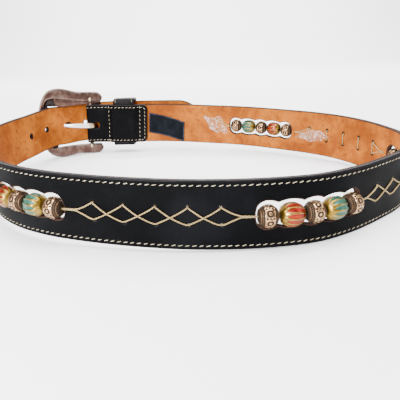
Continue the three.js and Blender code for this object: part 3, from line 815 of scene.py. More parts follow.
def grow(thing, name, build, inputs):
    """Run a Geometry Nodes tree once on a mesh and keep the plain result."""
    group = bpy.data.node_groups.new(name, "GeometryNodeTree")
    group.interface.new_socket("Geometry", in_out="INPUT", socket_type="NodeSocketGeometry")
    identifiers = {}
    for label, value in inputs.items():
        kind = INPUT_KINDS[type(value)]
        made = group.interface.new_socket(label, in_out="INPUT", socket_type=kind)
        identifiers[label] = made.identifier
    group.interface.new_socket("Geometry", in_out="OUTPUT", socket_type="NodeSocketGeometry")
    tree = Tree(group)
    given = tree.node("NodeGroupInput")
    plain = tree.node("GeometryNodeRealizeInstances", None, (build(tree, given),))
    smooth = tree.node("GeometryNodeSetShadeSmooth", None, {"Geometry": plain})
    done = tree.node("GeometryNodeSetMaterial", None,
                     {"Geometry": smooth, "Material": given["Material"]})
    tree.node("NodeGroupOutput", None, (done,))
    modifier = thing.modifiers.new(name, "NODES")
    modifier.node_group = group
    for label, value in inputs.items():
        modifier[identifiers[label]] = value
    graph = bpy.context.evaluated_depsgraph_get()
    mesh = bpy.data.meshes.new_from_object(thing.evaluated_get(graph),
                                           preserve_all_data_layers=True, depsgraph=graph)
    thing.modifiers.clear()
    old = thing.data
    thing.data = mesh
    bpy.data.meshes.remove(old)
    mesh.name = thing.name
    print(f"{name}: {len(mesh.vertices)} points, {len(mesh.polygons)} faces")
    return thing


def vector(tree, x, y, z):
    return tree.node("ShaderNodeCombineXYZ", None, (x, y, z))


# %% [markdown]
# Sewing thread is a dull, slightly soiled cream. The lacing is waxed: it shines a little and
# shows its twist. The twist runs with the cord, so each cord carries two numbers for it, how far
# along and how far around a point lies, and a sine wave over both gives the slanted plies.

# %% Thread finishes
def sewing_thread(tree):
    where = tree.where()
    strands = tree.noise(where, 1500.0, 2.0)
    soil = tree.noise(where, 90.0, 3.0)
    colour = tree.blend(strands.step(0.35, 0.7), (0.250, 0.200, 0.125), (0.560, 0.490, 0.360))
    colour = tree.blend(soil.step(0.5, 0.8) * 0.5, colour, (0.150, 0.105, 0.055))
    return {"Base Color": colour, "Roughness": 0.72 + 0.1 * strands,
            "Normal": tree.bump(strands, 0.00008, 0.6)}


def waxed_cord(tree):
    twist = (tree.carried("along") * 3900.0 + tree.carried("around") * 12.566).sine()
    soil = tree.noise(tree.where(), 240.0, 3.0)
    # The grooves between the plies are painted darker: painted shade.
    ply_groove_shade = twist.step(-0.9, 0.4)
    colour = tree.blend(ply_groove_shade, (0.120, 0.070, 0.022), (0.400, 0.280, 0.110))
    colour = tree.blend(soil.step(0.52, 0.75) * 0.4, colour, (0.210, 0.135, 0.050))
    return {"Base Color": colour, "Roughness": 0.48 + 0.12 * soil,
            "Normal": tree.bump(twist, 0.00010, 0.8)}


thread_finish = finish("sewing_thread", sewing_thread, (0.7, 0.65, 0.5))
cord_finish = finish("waxed_cord", waxed_cord, (0.6, 0.5, 0.3))

# %% Stitches along a path
STITCH_PITCH = 3.7
STITCH_LONG = 2.75
STITCH_THICK = 0.37
STITCH_SLANT = 0.25


def stitch_row(tree, given):
    line = tree.node("GeometryNodeMeshToCurve", None, {"Mesh": given["Geometry"]})
    spots = tree.node("GeometryNodeCurveToPoints", {"mode": "LENGTH"},
                      {"Curve": line, "Length": given["Pitch"]})
    outward = tree.node("GeometryNodeInputNamedAttribute", {"data_type": "FLOAT_VECTOR"},
                        {"Name": "outward"})
    facing = tree.node("FunctionNodeAxesToRotation",
                       {"primary_axis": "Z", "secondary_axis": "X"}, (outward, spots["Tangent"]))
    stray = tree.node("FunctionNodeRandomValue", {"data_type": "FLOAT"},
                      {2: -0.06, 3: 0.06, 8: given["Seed"]}, out=1)
    lean = tree.node("FunctionNodeEulerToRotation", None,
                     (vector(tree, 0.0, 0.0, given["Slant"] + stray),))
    turned = tree.node("FunctionNodeRotateRotation", {"rotation_space": "LOCAL"}, (facing, lean))
    half = given["Length"] * 0.5
    thick = given["Thickness"]
    arch = tree.node("GeometryNodeCurveQuadraticBezier", None,
                     {"Resolution": 5, "Start": vector(tree, half * -1.0, 0.0, thick * -0.55),
                      "Middle": vector(tree, 0.0, 0.0, thick * 0.85),
                      "End": vector(tree, half, 0.0, thick * -0.55)})
    share = tree.node("GeometryNodeSplineParameter")
    bulge = 1.0 - ((share * 2.0 - 1.0).absolute() ** 4.0) * 0.35
    ring = tree.node("GeometryNodeCurvePrimitiveCircle", None,
                     {"Resolution": 6, "Radius": thick * 0.5})
    stitch = tree.node("GeometryNodeCurveToMesh", None,
                       {"Curve": arch, "Profile Curve": ring, "Scale": bulge, "Fill Caps": True})
    return tree.node("GeometryNodeInstanceOnPoints", None,
                     {"Points": spots, "Instance": stitch, "Rotation": turned})


def sew(name, lines, closed=False, slant=STITCH_SLANT, seed=7):
    row = path_mesh(name, lines, closed)
    grow(row, name, stitch_row,
         {"Pitch": STITCH_PITCH * MM, "Length": STITCH_LONG * MM,
          "Thickness": STITCH_THICK * MM, "Slant": slant, "Seed": seed,
          "Material": thread_finish})
    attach(row, "root")
    return row


# %% [markdown]
# The strap is sewn all the way round, two and a half millimetres in from its edge: down the tip,
# along both edges, over the fold and around the end of the flap. The flap has two more rows
# across it, which hold the keeper's ends between flap and strap.

# %% Rows on the strap and the flap
ROW_IN = 2.5
FLAP_ROW_NEAR = 19.5
FLAP_ROW_FAR = 51.2
around = inset(face_outline, ROW_IN)
across = [[(FLAP_STARTS + back, h) for h in np.linspace(-MID + ROW_IN, MID - ROW_IN, 20)]
          for back in (FLAP_ROW_NEAR, FLAP_ROW_FAR)]
sew("strap_edge_stitches", [on_leather(around)], closed=True)
sew("flap_cross_stitches", [on_leather(row) for row in across], slant=0.1, seed=8)

# %% [markdown]
# ## The lacing
# Between the windows two waxed cords cross like a bootlace. Each one comes out of a hole, runs
# slantwise over the black leather to the next pair, goes in, and runs straight across on the
# tan side. Towards a window the cords come together and go on through the beads. A cord is a
# path with a round profile, so a second small tree sweeps all of them.

# %% Cords along a path
CORD_SIDES = 8
KNOT_STEPS = 14         # points of a cord from one knot to the next


def swept_cord(tree, given):
    line = tree.node("GeometryNodeMeshToCurve", None, {"Mesh": given["Geometry"]})
    run = tree.node("GeometryNodeSplineParameter", out=1)
    line = tree.node("GeometryNodeStoreNamedAttribute", {"data_type": "FLOAT", "domain": "POINT"},
                     {"Geometry": line, "Name": "along", "Value": run})
    ring = tree.node("GeometryNodeCurvePrimitiveCircle", None,
                     {"Resolution": CORD_SIDES, "Radius": given["Thickness"] * 0.5})
    turn = tree.node("GeometryNodeSplineParameter")
    ring = tree.node("GeometryNodeStoreNamedAttribute", {"data_type": "FLOAT", "domain": "POINT"},
                     {"Geometry": ring, "Name": "around", "Value": turn})
    return tree.node("GeometryNodeCurveToMesh", None,
                     {"Curve": line, "Profile Curve": ring, "Fill Caps": True})


def cord_course(points):
    """Smooth cord through knots of (distance, depth, height)."""
    flat = smooth_curve(points, KNOT_STEPS * (len(points) - 1))
    spots = place(flat[:, 0], flat[:, 1], flat[:, 2])
    outward = place(flat[:, 0], flat[:, 1] - 1, flat[:, 2]) - spots
    return spots, outward


def lay_cord(name, knots, thick):
    courses = [cord_course(points) for points in knots]
    cord = path_mesh(name, courses)
    grow(cord, name, swept_cord, {"Thickness": thick * MM, "Material": cord_finish})
    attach(cord, "root")
    steps = [np.linalg.norm(np.diff(spots, axis=0), axis=1).sum() for spots, _ in courses]
    print(f"{name}: {len(steps)} cords, {sum(steps):.0f} mm in all")
    return cord


# %% The crossed cords
LACE_THICK = 0.78
ON_GRAIN = -LACE_THICK / 2 + 0.05
OVER = ON_GRAIN - 0.85
INSIDE = STRAP + LACE_THICK / 2
MERGE = 10.3           # cords come together this far before the first pair
SAG = 0.55
lace_knots = []
inner_knots = []
ends_of_lacing = []
for pairs in lace_pairs:
    for here, there in zip(pairs[:-1], pairs[1:]):
        gap = there - here
        for start, over in ((1, True), (-1, False)):
            rise = start * (LACE_RISE - 0.25)
            cross = OVER if over else ON_GRAIN
            lace_knots.append([
                (here - 0.1, 1.5, start * (LACE_RISE + 0.1)), (here + 0.3, 0.0, rise),
                (here + 1.6, ON_GRAIN, rise * 0.82 - 0.1),
                (here + 0.46 * gap, cross, rise * 0.05 - SAG),
                (there - 2.3, ON_GRAIN, -rise * 0.80 - 0.45),
                (there - 0.5, 0.0, -rise * 1.0 - 0.1),
                (there, 1.5, -start * (LACE_RISE + 0.1))])
    for d in pairs:
        inner_knots.append([
            (d, 2.4, LACE_RISE), (d, INSIDE - 0.35, LACE_RISE - 0.35),
            (d + 0.2, INSIDE, LACE_RISE - 1.3), (d - 0.15, INSIDE + 0.1, 0.0),
            (d + 0.1, INSIDE, -LACE_RISE + 1.3), (d, INSIDE - 0.35, -LACE_RISE + 0.35),
            (d, 2.4, -LACE_RISE)])
    for first, way in ((pairs[0], -1), (pairs[-1], 1)):
        meet = first + way * MERGE
        ends_of_lacing.append((meet, way))
        for start in (1, -1):
            rise = start * (LACE_RISE - 0.2)
            lace_knots.append([
                (first, 1.5, start * (LACE_RISE + 0.1)), (first + way * 0.4, 0.0, rise),
                (first + way * 1.8, ON_GRAIN, rise * 0.86 - 0.2),
                (first + way * 5.6, ON_GRAIN - 0.05, rise * 0.44 - 0.35),
                (meet, ON_GRAIN - 0.1, start * 0.31 - 0.2),
                (meet + way * 2.5, ON_GRAIN - 0.1, start * 0.28 - 0.25)])
            inner_knots.append([
                (first, 2.4, start * LACE_RISE), (first + way * 0.5, INSIDE, rise * 0.95),
                (first + way * 4.5, INSIDE, rise * 0.5),
                (meet, INSIDE, start * 0.5), (meet + way * 4.0, INSIDE, start * 0.35 - 0.1)])
lay_cord("crossed_lacing", lace_knots, LACE_THICK)
lay_cord("inner_lacing", inner_knots, LACE_THICK * 0.9)

# %% [markdown]
# Each string of beads hangs on the same cord. Two strands come over the end of the window, go
# through all five beads and come out at the other end. At the two outer windows the lacing is
# at an end: there the strands turn inside and are glued down on the tan leather.

# %% Strings through the windows
STRAND = 0.74
for number, middle in enumerate(windows, 1):
    strands = []
    for start in (1, -1):
        off = start * 0.27
        knots = []
        for way in (-1, 1):
            meets = [m + w * 2.4 for m, w in ends_of_lacing
                     if w == -way and 0 < (m - middle) * way < window_half + 16]
            end = middle + way * window_half
            if meets:
                leg = [(meets[0], ON_GRAIN - 0.1, off - 0.25),
                       (end + way * 2.2, ON_GRAIN - 0.1, off - 0.35)]
            else:
                leg = [(end + way * 15.0, STRAP + 0.4, start * 6.0),
                       (end + way * 7.0, STRAP + 0.4, start * 2.4),
                       (end + way * 2.6, STRAP + 0.4, off - 0.4),
                       (end + way * 0.25, STRAP + 0.2, off * 0.6 - BEAD_SAG),
                       (end - way * 0.45, 2.4, off * 0.5 - BEAD_SAG)]
            leg.append((middle + way * string_long / 2, -BEAD_OUT, off * 0.6 - BEAD_SAG))
            leg.append((middle + way * (string_long / 2 - 3), -BEAD_OUT, off * 0.6 - BEAD_SAG))
            knots += leg if way < 0 else leg[::-1]
            if way < 0:
                knots += [(middle + c, -BEAD_OUT, off * 0.6 - BEAD_SAG)
                          for c in bead_centres[1:-1]]
        strands.append(knots)
    string = lay_cord(f"bead_string_{number}", strands, STRAND)
    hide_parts(f"bead_cord_{number}")

# %% [markdown]
# Where a lacing ends, the thread ends are glued to the tan side. The glue has dried to a thin,
# milky skin with an uneven edge. It is a very thin sheet on the lining, thin enough to see the
# leather through it.

# %% Dried glue on the tan side
GLUE_DEEP = 0.22
GLUE_SUNK = 0.05       # its under side lies this deep in the leather
SMEAR_POINTS = 72
SMEAR_STEP = 1.5
SMEAR_HALF = 12.0


def smear_outline(middle, height, long, tall, tilt, arms, seed):
    """Uneven patch around a point of the leather."""
    chance = np.random.default_rng(seed)
    waves = [(k, chance.uniform(0.02, 0.09), chance.uniform(0, 2 * math.pi)) for k in (3, 5, 7, 9)]
    rows = []
    for angle in np.arange(SMEAR_POINTS) * 2 * math.pi / SMEAR_POINTS:
        reach = 1 + arms * math.cos(2 * angle) ** 2 + sum(
            size * math.sin(k * angle + start) for k, size, start in waves)
        x, y = long * reach * math.cos(angle) / (1 + arms), tall * reach * math.sin(angle)
        rows.append((middle + x * math.cos(tilt) - y * math.sin(tilt),
                     height + x * math.sin(tilt) + y * math.cos(tilt)))
    return np.array(rows)


def dried_glue(tree):
    where = tree.where()
    clouds = tree.noise(where, 260.0, 4.0, 0.6)
    fine = tree.noise(where, 900.0, 3.0)
    return {"Base Color": tree.blend(clouds, (0.420, 0.235, 0.160), (0.720, 0.560, 0.480)),
            "Roughness": 0.30 + 0.25 * clouds, "Alpha": 0.10 + 0.62 * clouds.step(0.38, 0.72),
            "Normal": tree.bump(clouds + fine * 0.4, 0.0003, 0.7)}


glue_finish = finish("dried_glue", dried_glue, (0.7, 0.55, 0.45))
SMEARS = [
    # name, distance, height, half length, half height, tilt, arms, seed
    ("glue_smear_at_window", windows[3] + 45.0, 0.0, 14.5, 5.6, 0.55, 0.45, 4),
    ("glue_smear_at_lacing", windows[3] - 52.0, -2.0, 15.0, 4.6, -0.12, 0.15, 6),
    ("glue_smear_at_tip_side", windows[0] - 44.0, 0.0, 12.0, 5.2, -0.45, 0.30, 9),
]
for name, distance, height, long, tall, tilt, arms, seed in SMEARS:
    patch = smear_outline(distance, height, long, tall, tilt, arms, seed)
    smear = sheet(name, [patch],
                  [(1.0, STRAP - GLUE_SUNK), (0.02, STRAP - GLUE_SUNK), (0, STRAP + 0.02),
                   (0.35, STRAP + 0.6 * GLUE_DEEP), (1.0, STRAP + GLUE_DEEP)],
                  grid(np.arange(distance - long - tall, distance + long + tall, SMEAR_STEP),
                       np.arange(-SMEAR_HALF, SMEAR_HALF + 0.1, SMEAR_STEP)))
    smear.data.materials.append(glue_finish)
    smear.data.polygons.foreach_set("material_index",
                                    np.zeros(len(smear.data.polygons), np.int32))
    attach(smear, "root")

# %% [markdown]
# ## Beads
# The metal beads are cast and then darkened, so that the relief stays dark in its hollows. The
# enamelled barrels are fluted: thin gold ridges stand between grooves filled with colour. Both
# are turned bodies with a hole through them, so both start as a lathe grid around their string.

# %% Turned bodies
def turned(name, profile, around, centre, axis, phase=0.0):
    """Closed lathe around an axis. profile: closed rows of (along, radius)."""
    axis = axis / np.linalg.norm(axis)
    side = np.cross([0, 0, 1.0], axis)
    side /= np.linalg.norm(side)
    top = np.cross(axis, side)
    angle = phase + np.arange(around) * 2 * math.pi / around
    profile = np.asarray(profile)
    spots = (centre + profile[:, None, :1] * axis
             + profile[:, None, 1:] * (np.cos(angle)[:, None] * side
                                       + np.sin(angle)[:, None] * top))
    return solid(name, spots.reshape(-1, 3), ring_faces(len(profile), around))


def ring_faces(rows, columns, open_rows=False):
    """Faces of a grid that closes around both ways, or only around its columns."""
    faces = []
    for row in range(rows - 1 if open_rows else rows):
        after = (row + 1) % rows
        for k in range(columns):
            ahead = (k + 1) % columns
            faces.append((row * columns + k, after * columns + k,
                          after * columns + ahead, row * columns + ahead))
    return faces


def carry(thing, name, values):
    carried = thing.data.attributes.new(name, "FLOAT", "POINT")
    carried.data.foreach_set("value", np.asarray(values, np.float32))


# %% Profile and place of a bead
BORE_ROWS = 5
BORE_SOFT = 0.25       # length of the worn mouth of the bore


def bead_profile(half_long, shape, fine, mouth):
    """Outer curve from end to end, closed by the bore."""
    outer = smooth_curve([(-half_long, mouth, 0), *[(-x, r, 0) for r, x in shape],
                          *[(x, r, 0) for r, x in shape[::-1]], (half_long, mouth, 0)],
                         fine)[:, :2]
    bore = np.stack([np.linspace(half_long - BORE_SOFT, -half_long + BORE_SOFT, BORE_ROWS),
                     np.full(BORE_ROWS, BORE / 2 + 0.05)], -1)
    return np.vstack([outer, bore])


def bead_spot(middle, index):
    """Centre and direction of a bead on its string."""
    ends = [place(middle + bead_centres[index] + k * bead_longs[index] / 2, -BEAD_OUT, -BEAD_SAG)
            for k in (-1, 1)]
    return (ends[0] + ends[1]) / 2, ends[1] - ends[0]


def smoothstep(low, high, value):
    share = np.clip((value - low) / (high - low), 0, 1)
    return share * share * (3 - 2 * share)


# %% [markdown]
# The relief has to be real, because a bump alone would vanish in the exported mesh. The bead is
# turned with a fine grid, and a plain formula says at each point how deep the engraving lies:
# open rings and dots in a band around the middle, and notched rings towards the ends. The points
# sink by it, and the same number darkens the metal there.

# %% Relief of the metal beads
METAL_SHAPE = [(3.3, 4.95), (4.55, 4.1), (5.45, 2.95), (6.0, 1.45)]
METAL_AROUND = 168
METAL_FINE = 58
CELLS = 7
BAND = 2.75            # half width of the band with the pattern
RELIEF = 0.40
NOTCHES = 30


def engraved(arc, along):
    """1 in the engraved lines of one cell of the pattern, 0 on the band."""
    cell = 2 * math.pi * METAL_R / CELLS
    p = (arc / cell - np.round(arc / cell)) * cell
    q = along
    radius = np.hypot(p - 0.2, q)
    open_end = smoothstep(-1.25, -0.85, p) + smoothstep(0.55, 0.80, np.abs(q))
    ring = (1 - smoothstep(0.30, 0.55, np.abs(radius - 1.35))) * np.clip(open_end, 0, 1)
    hook = np.hypot(p + 1.05, np.abs(q) - 0.55)
    hooks = 1 - smoothstep(0.36, 0.58, hook)
    edge = np.abs(p) - cell / 2
    dots = 1 - smoothstep(0.36, 0.60, np.hypot(edge, np.abs(q) - 1.75))
    star = 1 - smoothstep(0.34, 0.56, np.hypot(edge, q))
    return np.clip(np.maximum.reduce([ring, hooks, dots, star]), 0, 1)


def relief_of(thing, profile, around):
    """Sinks the pattern into a bead; stores patina in it and painted shade on ends and bore."""
    count = len(profile)
    along = np.repeat([p[0] for p in profile], around)
    angle = np.tile(np.arange(around) * 2 * math.pi / around, count)
    outer = np.repeat(np.arange(count) < count - BORE_ROWS, around)
    x = np.abs(along)
    pattern = engraved(angle * METAL_R, along) * (1 - smoothstep(BAND - 0.35, BAND, x))
    groove = 1 - smoothstep(0.22, 0.48, np.abs(x - BAND - 0.34))
    second = 0.9 * (1 - smoothstep(0.16, 0.36, np.abs(x - BAND - 1.25)))
    notches = (0.55 + 0.45 * np.sin(angle * NOTCHES)) * (1 - smoothstep(0.2, 0.5,
                                                                   np.abs(x - BAND - 0.82)))
    recess = np.clip(np.maximum.reduce([pattern, groove, second, 0.45 * notches]), 0, 1) * outer
    mesh = thing.data
    spots = np.zeros(len(mesh.vertices) * 3)
    mesh.vertices.foreach_get("co", spots)
    spots = spots.reshape(-1, 3)
    normals = np.zeros(len(mesh.vertices) * 3, np.float32)
    mesh.vertex_normals.foreach_get("vector", normals)
    spots -= normals.reshape(-1, 3) * (recess * RELIEF * MM)[:, None]
    mesh.vertices.foreach_set("co", spots.ravel())
    mesh.update()
    # Ends and bore painted dark, sides a little: painted shade where the bead turns away.
    painted_end_shade = smoothstep(4.35, 4.7, x) * outer + (1 - outer)
    side = 0.30 * smoothstep(BAND, BAND + 0.5, x) * outer
    carry(thing, "recess", np.maximum.reduce([recess, 0.9 * painted_end_shade, side]))


# %% Metal beads
def champagne_metal(tree):
    # Patina in the sunk relief; painted shade on the ends, sides and bore.
    recess = tree.carried("recess")
    where = tree.where()
    cloud = tree.noise(where, 420.0, 3.0)
    fine = tree.noise(where, 2600.0, 2.0)
    dark = (recess + (cloud - 0.5) * 0.35).step(0.15, 0.62)
    colour = tree.blend(cloud.step(0.35, 0.7), (0.290, 0.155, 0.070), (0.560, 0.355, 0.195))
    colour = tree.blend((recess * 2.2).step(0.1, 1.0), colour, (0.120, 0.056, 0.022))
    colour = tree.blend(dark, colour, (0.016, 0.008, 0.003))
    return {"Base Color": colour, "Metallic": 1.0 - 0.9 * dark,
            "Roughness": 0.20 + 0.12 * cloud + 0.4 * dark,
            "Normal": tree.bump(fine * 0.5 + cloud, 0.00006, 0.5),
            "Specular IOR Level": 0.2}


bead_finish = finish("champagne_metal", champagne_metal, (0.75, 0.55, 0.38))
metal_profile = bead_profile(METAL_LONG / 2, METAL_SHAPE, METAL_FINE, 1.35)
for number, middle in enumerate(windows, 1):
    for index, (letter, kind, colour) in enumerate(STRING):
        if kind != "metal":
            continue
        centre, axis = bead_spot(middle, index)
        bead = turned(f"metal_bead_{number}{letter}", metal_profile, METAL_AROUND, centre, axis,
                      phase=0.37 * number + 1.13 * index)
        relief_of(bead, metal_profile, METAL_AROUND)
        bead.data.materials.append(bead_finish)
        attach(bead, "root")
        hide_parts(f"bead_{number}{letter}_gold")
print("metal beads:", METAL_AROUND, "by", len(metal_profile))

# %% [markdown]
# A barrel's flutes are one shape repeated around it. A Geometry Nodes tree sinks them into a
# plain turned barrel: it reads the angle that each point carries, makes a wave of it, fades it
# out at the ends and pushes the points inwards. The same wave is stored for the enamel.

# %% Flutes of the barrels
BARREL_SHAPE = [(2.7, 6.42), (4.2, 5.6), (5.4, 4.15), (6.2, 2.3)]
BARREL_AROUND = 182
BARREL_FINE = 34
FLUTES = 12
FLUTE_DEEP = 0.5


def sink_flutes(tree, given):
    turn = tree.node("GeometryNodeInputNamedAttribute", {"data_type": "FLOAT"}, {"Name": "turn"})
    share = tree.node("GeometryNodeInputNamedAttribute", {"data_type": "FLOAT"},
                      {"Name": "share"})
    wave = (turn * given["Flutes"] * math.pi).sine().absolute()
    middle = (share * 2.0 - 1.0).absolute()
    wide = share.step(0.10, 0.42) * (1.0 - share.step(0.72, 0.98) * 0.45)
    petal = wave - (1.0 - wide * 0.66)
    flute = petal.step(-0.12, 0.30) * (1.0 - middle.step(0.84, 0.99))
    stored = tree.node("GeometryNodeStoreNamedAttribute",
                       {"data_type": "FLOAT", "domain": "POINT"},
                       {"Geometry": given["Geometry"], "Name": "groove", "Value": flute})
    normal = tree.node("GeometryNodeInputNormal")
    inwards = tree.node("ShaderNodeVectorMath", {"operation": "SCALE"},
                        {"Vector": normal, "Scale": flute * given["Depth"] * -1.0})
    return tree.node("GeometryNodeSetPosition", None, {"Geometry": stored, "Offset": inwards})


# %% [markdown]
# The enamel lies in the flutes, and the bare metal of one end runs out between them in gold
# points. Both come from the numbers that the barrel carries, so the paint follows the form.

# %% Enamel of the barrels
def barrel_enamel(dark, bright, gold, spread):
    def make(tree):
        share = tree.carried("share")
        groove = tree.carried("groove")
        where = tree.where()
        cloud = tree.noise(where, 330.0, 3.0)
        fine = tree.noise(where, 2100.0, 2.0)
        aged = cloud.step(0.30, 0.75)
        body = tree.blend(aged, dark, bright)
        metal = tree.blend(aged, gold, (0.330, 0.205, 0.040))
        far = (share + (cloud - 0.5) * 0.2).step(0.30, 0.85)
        painted = (groove + (cloud - 0.5) * 0.25 + far * spread).step(0.20, 0.62)
        colour = tree.blend(painted, metal, body)
        ridge = 1.0 - painted
        return {"Base Color": colour, "Metallic": 0.30 + 0.6 * ridge,
                "Roughness": 0.26 + 0.12 * cloud,
                "Normal": tree.bump(fine, 0.00005, 0.4),
                "Coat Weight": 0.10, "Coat Roughness": 0.15,
                "Specular IOR Level": 0.2}
    return make


barrel_finish = {
    "red": finish("red_enamel", barrel_enamel((0.100, 0.003, 0.001), (0.270, 0.014, 0.002),
                                              (0.120, 0.066, 0.005), 0.12), (0.6, 0.12, 0.04)),
    "green": finish("green_enamel", barrel_enamel((0.012, 0.050, 0.036), (0.048, 0.135, 0.092),
                                                  (0.180, 0.105, 0.006), 0.50),
                    (0.2, 0.4, 0.28)),
}

# %% Barrels
barrel_profile = bead_profile(BARREL_LONG / 2, BARREL_SHAPE, BARREL_FINE, 1.5)
barrel_shares = np.repeat((barrel_profile[:, 0] / BARREL_LONG + 0.5), BARREL_AROUND)
barrel_turns = np.tile(np.arange(BARREL_AROUND) / BARREL_AROUND, len(barrel_profile))
for number, middle in enumerate(windows, 1):
    for index, (letter, kind, colour) in enumerate(STRING):
        if kind != "barrel":
            continue
        centre, axis = bead_spot(middle, index)
        barrel = turned(f"{colour}_barrel_{number}{letter}", barrel_profile, BARREL_AROUND,
                        centre, axis, phase=0.21 * number + 0.7 * index)
        gold_ahead = number in (1, 3)
        carry(barrel, "share", 1 - barrel_shares if gold_ahead else barrel_shares)
        carry(barrel, "turn", barrel_turns)
        grow(barrel, barrel.name, sink_flutes,
             {"Flutes": float(FLUTES), "Depth": FLUTE_DEEP * MM,
              "Material": barrel_finish[colour]})
        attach(barrel, "root")
        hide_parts(f"bead_{number}{letter}_{colour}")

# %% [markdown]
# ## Keeper and label
# The keeper is a narrow strip of the same black leather, bent around strap and tip, with both
# ends caught under the flap. It is swept: one rounded section of the strip goes around the bend.
# The label is a woven patch with a turned hem, sewn inside the back. It stays bare.

# %% Keeper
KEEPER_UNDER = 1.7
KEEPER_OVER = 1.2
KEEPER_ROUND = 2.5
EDGE_SOFT = 0.7
keeper_back = KEEPER_FROM + KEEPER_WIDE / 2
keeper_point, keeper_out = strap_run.at(LENGTH - keeper_back)
keeper_along = np.array([-keeper_out[1], keeper_out[0], 0.0])
tail_rises = sorted((back * TAIL, rise * TAIL_RISE) for back, _, rise in TAIL_ROWS)
keeper_lift = np.interp(keeper_back, *np.array(tail_rises).T)
keeper_top = keeper_point[2] + keeper_lift + WIDTH + KEEPER_OVER
keeper_foot = keeper_point[2] - KEEPER_UNDER
keeper_reach = STRAP + TAIL_GAP * TAIL_ROWS[-1][1] + KEEPER_ROOM
half_thick = KEEPER_T / 2


# %% Bend of the keeper
def rounded_path(x0, x1, y0, y1, r, per_corner=7, step=3.0):
    """Rounded rectangle as rows of (x, y, outward x, outward y)."""
    path = []
    corners = [((x1 - r, y0 + r), -90), ((x1 - r, y1 - r), 0), ((x0 + r, y1 - r), 90),
               ((x0 + r, y0 + r), 180)]
    for (cx, cy), start in corners:
        if path:
            reach = math.hypot(cx + r * math.cos(math.radians(start)) - path[-1][0],
                               cy + r * math.sin(math.radians(start)) - path[-1][1])
            last = path[-1]
            for share in np.linspace(0, 1, max(2, round(reach / step)) + 1)[1:-1]:
                path.append((last[0] + share * reach * -last[3], last[1] + share * reach * last[2],
                             last[2], last[3]))
        for turn in np.linspace(start, start + 90, per_corner):
            nx, ny = math.cos(math.radians(turn)), math.sin(math.radians(turn))
            path.append((cx + r * nx, cy + r * ny, nx, ny))
    last, first = path[-1], path[0]
    reach = math.hypot(first[0] - last[0], first[1] - last[1])
    for share in np.linspace(0, 1, max(2, round(reach / step)) + 1)[1:-1]:
        path.append((last[0] + share * (first[0] - last[0]), last[1] + share * (first[1] - last[1]),
                     last[2], last[3]))
    return np.array(path)


band_path = rounded_path(-keeper_in - half_thick, keeper_reach + half_thick,
                         keeper_foot - half_thick, keeper_top + half_thick,
                         KEEPER_ROUND - half_thick)
band_section = []
for ox, oy, start in ((1, 1, 0), (-1, 1, 90), (-1, -1, 180), (1, -1, 270)):
    for turn in np.radians(np.linspace(start, start + 90, 5)):
        band_section.append((ox * (half_thick - EDGE_SOFT) + EDGE_SOFT * math.cos(turn),
                             oy * (KEEPER_WIDE / 2 - EDGE_SOFT) + EDGE_SOFT * math.sin(turn)))
band_section = np.array(band_section)


def on_band(out, across):
    """Points of the keeper: out from the middle of the strip, across its width."""
    flat = band_path[:, None, :2] + band_path[:, None, 2:] * np.asarray(out)[None, :, None]
    base = np.array([keeper_point[0], keeper_point[1], 0.0])
    from_middle = flat[..., 1:] - keeper_point[2] - MID
    return (base + flat[..., :1] * keeper_out + flat[..., 1:] * np.array([0, 0, 1.0])
            + (np.asarray(across)[None, :, None] - BAR_LEAN * from_middle) * keeper_along)


keeper_spots = on_band(band_section[:, 0], band_section[:, 1])
keeper = solid("leather_keeper", keeper_spots.reshape(-1, 3),
               ring_faces(len(band_path), len(band_section)))
keeper.data.materials.append(leather_black)
keeper.data.materials.append(edge_black)
columns = np.arange(len(keeper.data.polygons)) % len(band_section)
edge_from = KEEPER_WIDE / 2 - EDGE_SOFT - 0.05
next_section = np.roll(band_section, -1, axis=0)
on_edge = ((np.abs(band_section[columns, 1]) > edge_from)
           & (np.abs(next_section[columns, 1]) > edge_from))
keeper.data.polygons.foreach_set("material_index", on_edge.astype(np.int32))
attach(keeper, "root")
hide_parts("keeper_loop")

# %% [markdown]
# Both edges of the keeper are sewn. The rows use the same tree as the strap and run only where
# the keeper shows, not under the flap.

# %% Stitches of the keeper
KEEPER_ROW_IN = 2.3
keeper_rows = []
for way in (-1, 1):
    line = on_band([half_thick], [way * (KEEPER_WIDE / 2 - KEEPER_ROW_IN)])[:, 0]
    outward = band_path[:, 2:3] * keeper_out + band_path[:, 3:] * np.array([0, 0, 1.0])
    showing = (band_path[:, 0] > -1.0) | (band_path[:, 1] > keeper_point[2] + WIDTH + 0.8)
    order = np.arange(len(line))
    start = int(np.nonzero(showing & ~np.roll(showing, 1))[0][0])
    rolled = np.roll(order, -start)
    rolled = rolled[showing[rolled]]
    keeper_rows.append((line[rolled], outward[rolled]))
sew("keeper_edge_stitches", keeper_rows, slant=0.1, seed=9)

# %% [markdown]
# The label could be a plain box, but a woven patch is soft: its edges are turned under and stand
# a little higher than its middle. It is one more sheet, laid on the tan side, with a hem finish
# on its rim and a fine weave on the rest. Nothing is written on it.

# %% Label
LABEL_FROM = 60.4
LABEL_LONG = 37.6
LABEL_T = 0.6
LABEL_TALL = 20.2
LABEL_NEAR = 9.6
LABEL_FAR = 0.2
LABEL_BOW = 0.9        # the patch was sewn on a bent strap
LABEL_STEP = 2.5


def woven_label(tree):
    where = tree.where()
    rows_up = tree.node("ShaderNodeSeparateXYZ", None, (where,), out=2)
    along = tree.node("ShaderNodeSeparateXYZ", None, (where,), out=0)
    weave = (rows_up * 14000.0).sine() * (along * 9000.0).sine()
    cloud = tree.noise(where, 160.0, 3.0)
    colour = tree.blend(cloud.step(0.4, 0.7), (0.0022, 0.0027, 0.0042), (0.0050, 0.0062, 0.0095))
    colour = tree.blend(weave.step(0.1, 0.9) * 0.35, colour, (0.011, 0.013, 0.019))
    return {"Base Color": colour, "Roughness": 0.75 + 0.1 * cloud,
            "Normal": tree.bump(weave, 0.00008, 0.7), "Specular IOR Level": 0.05}


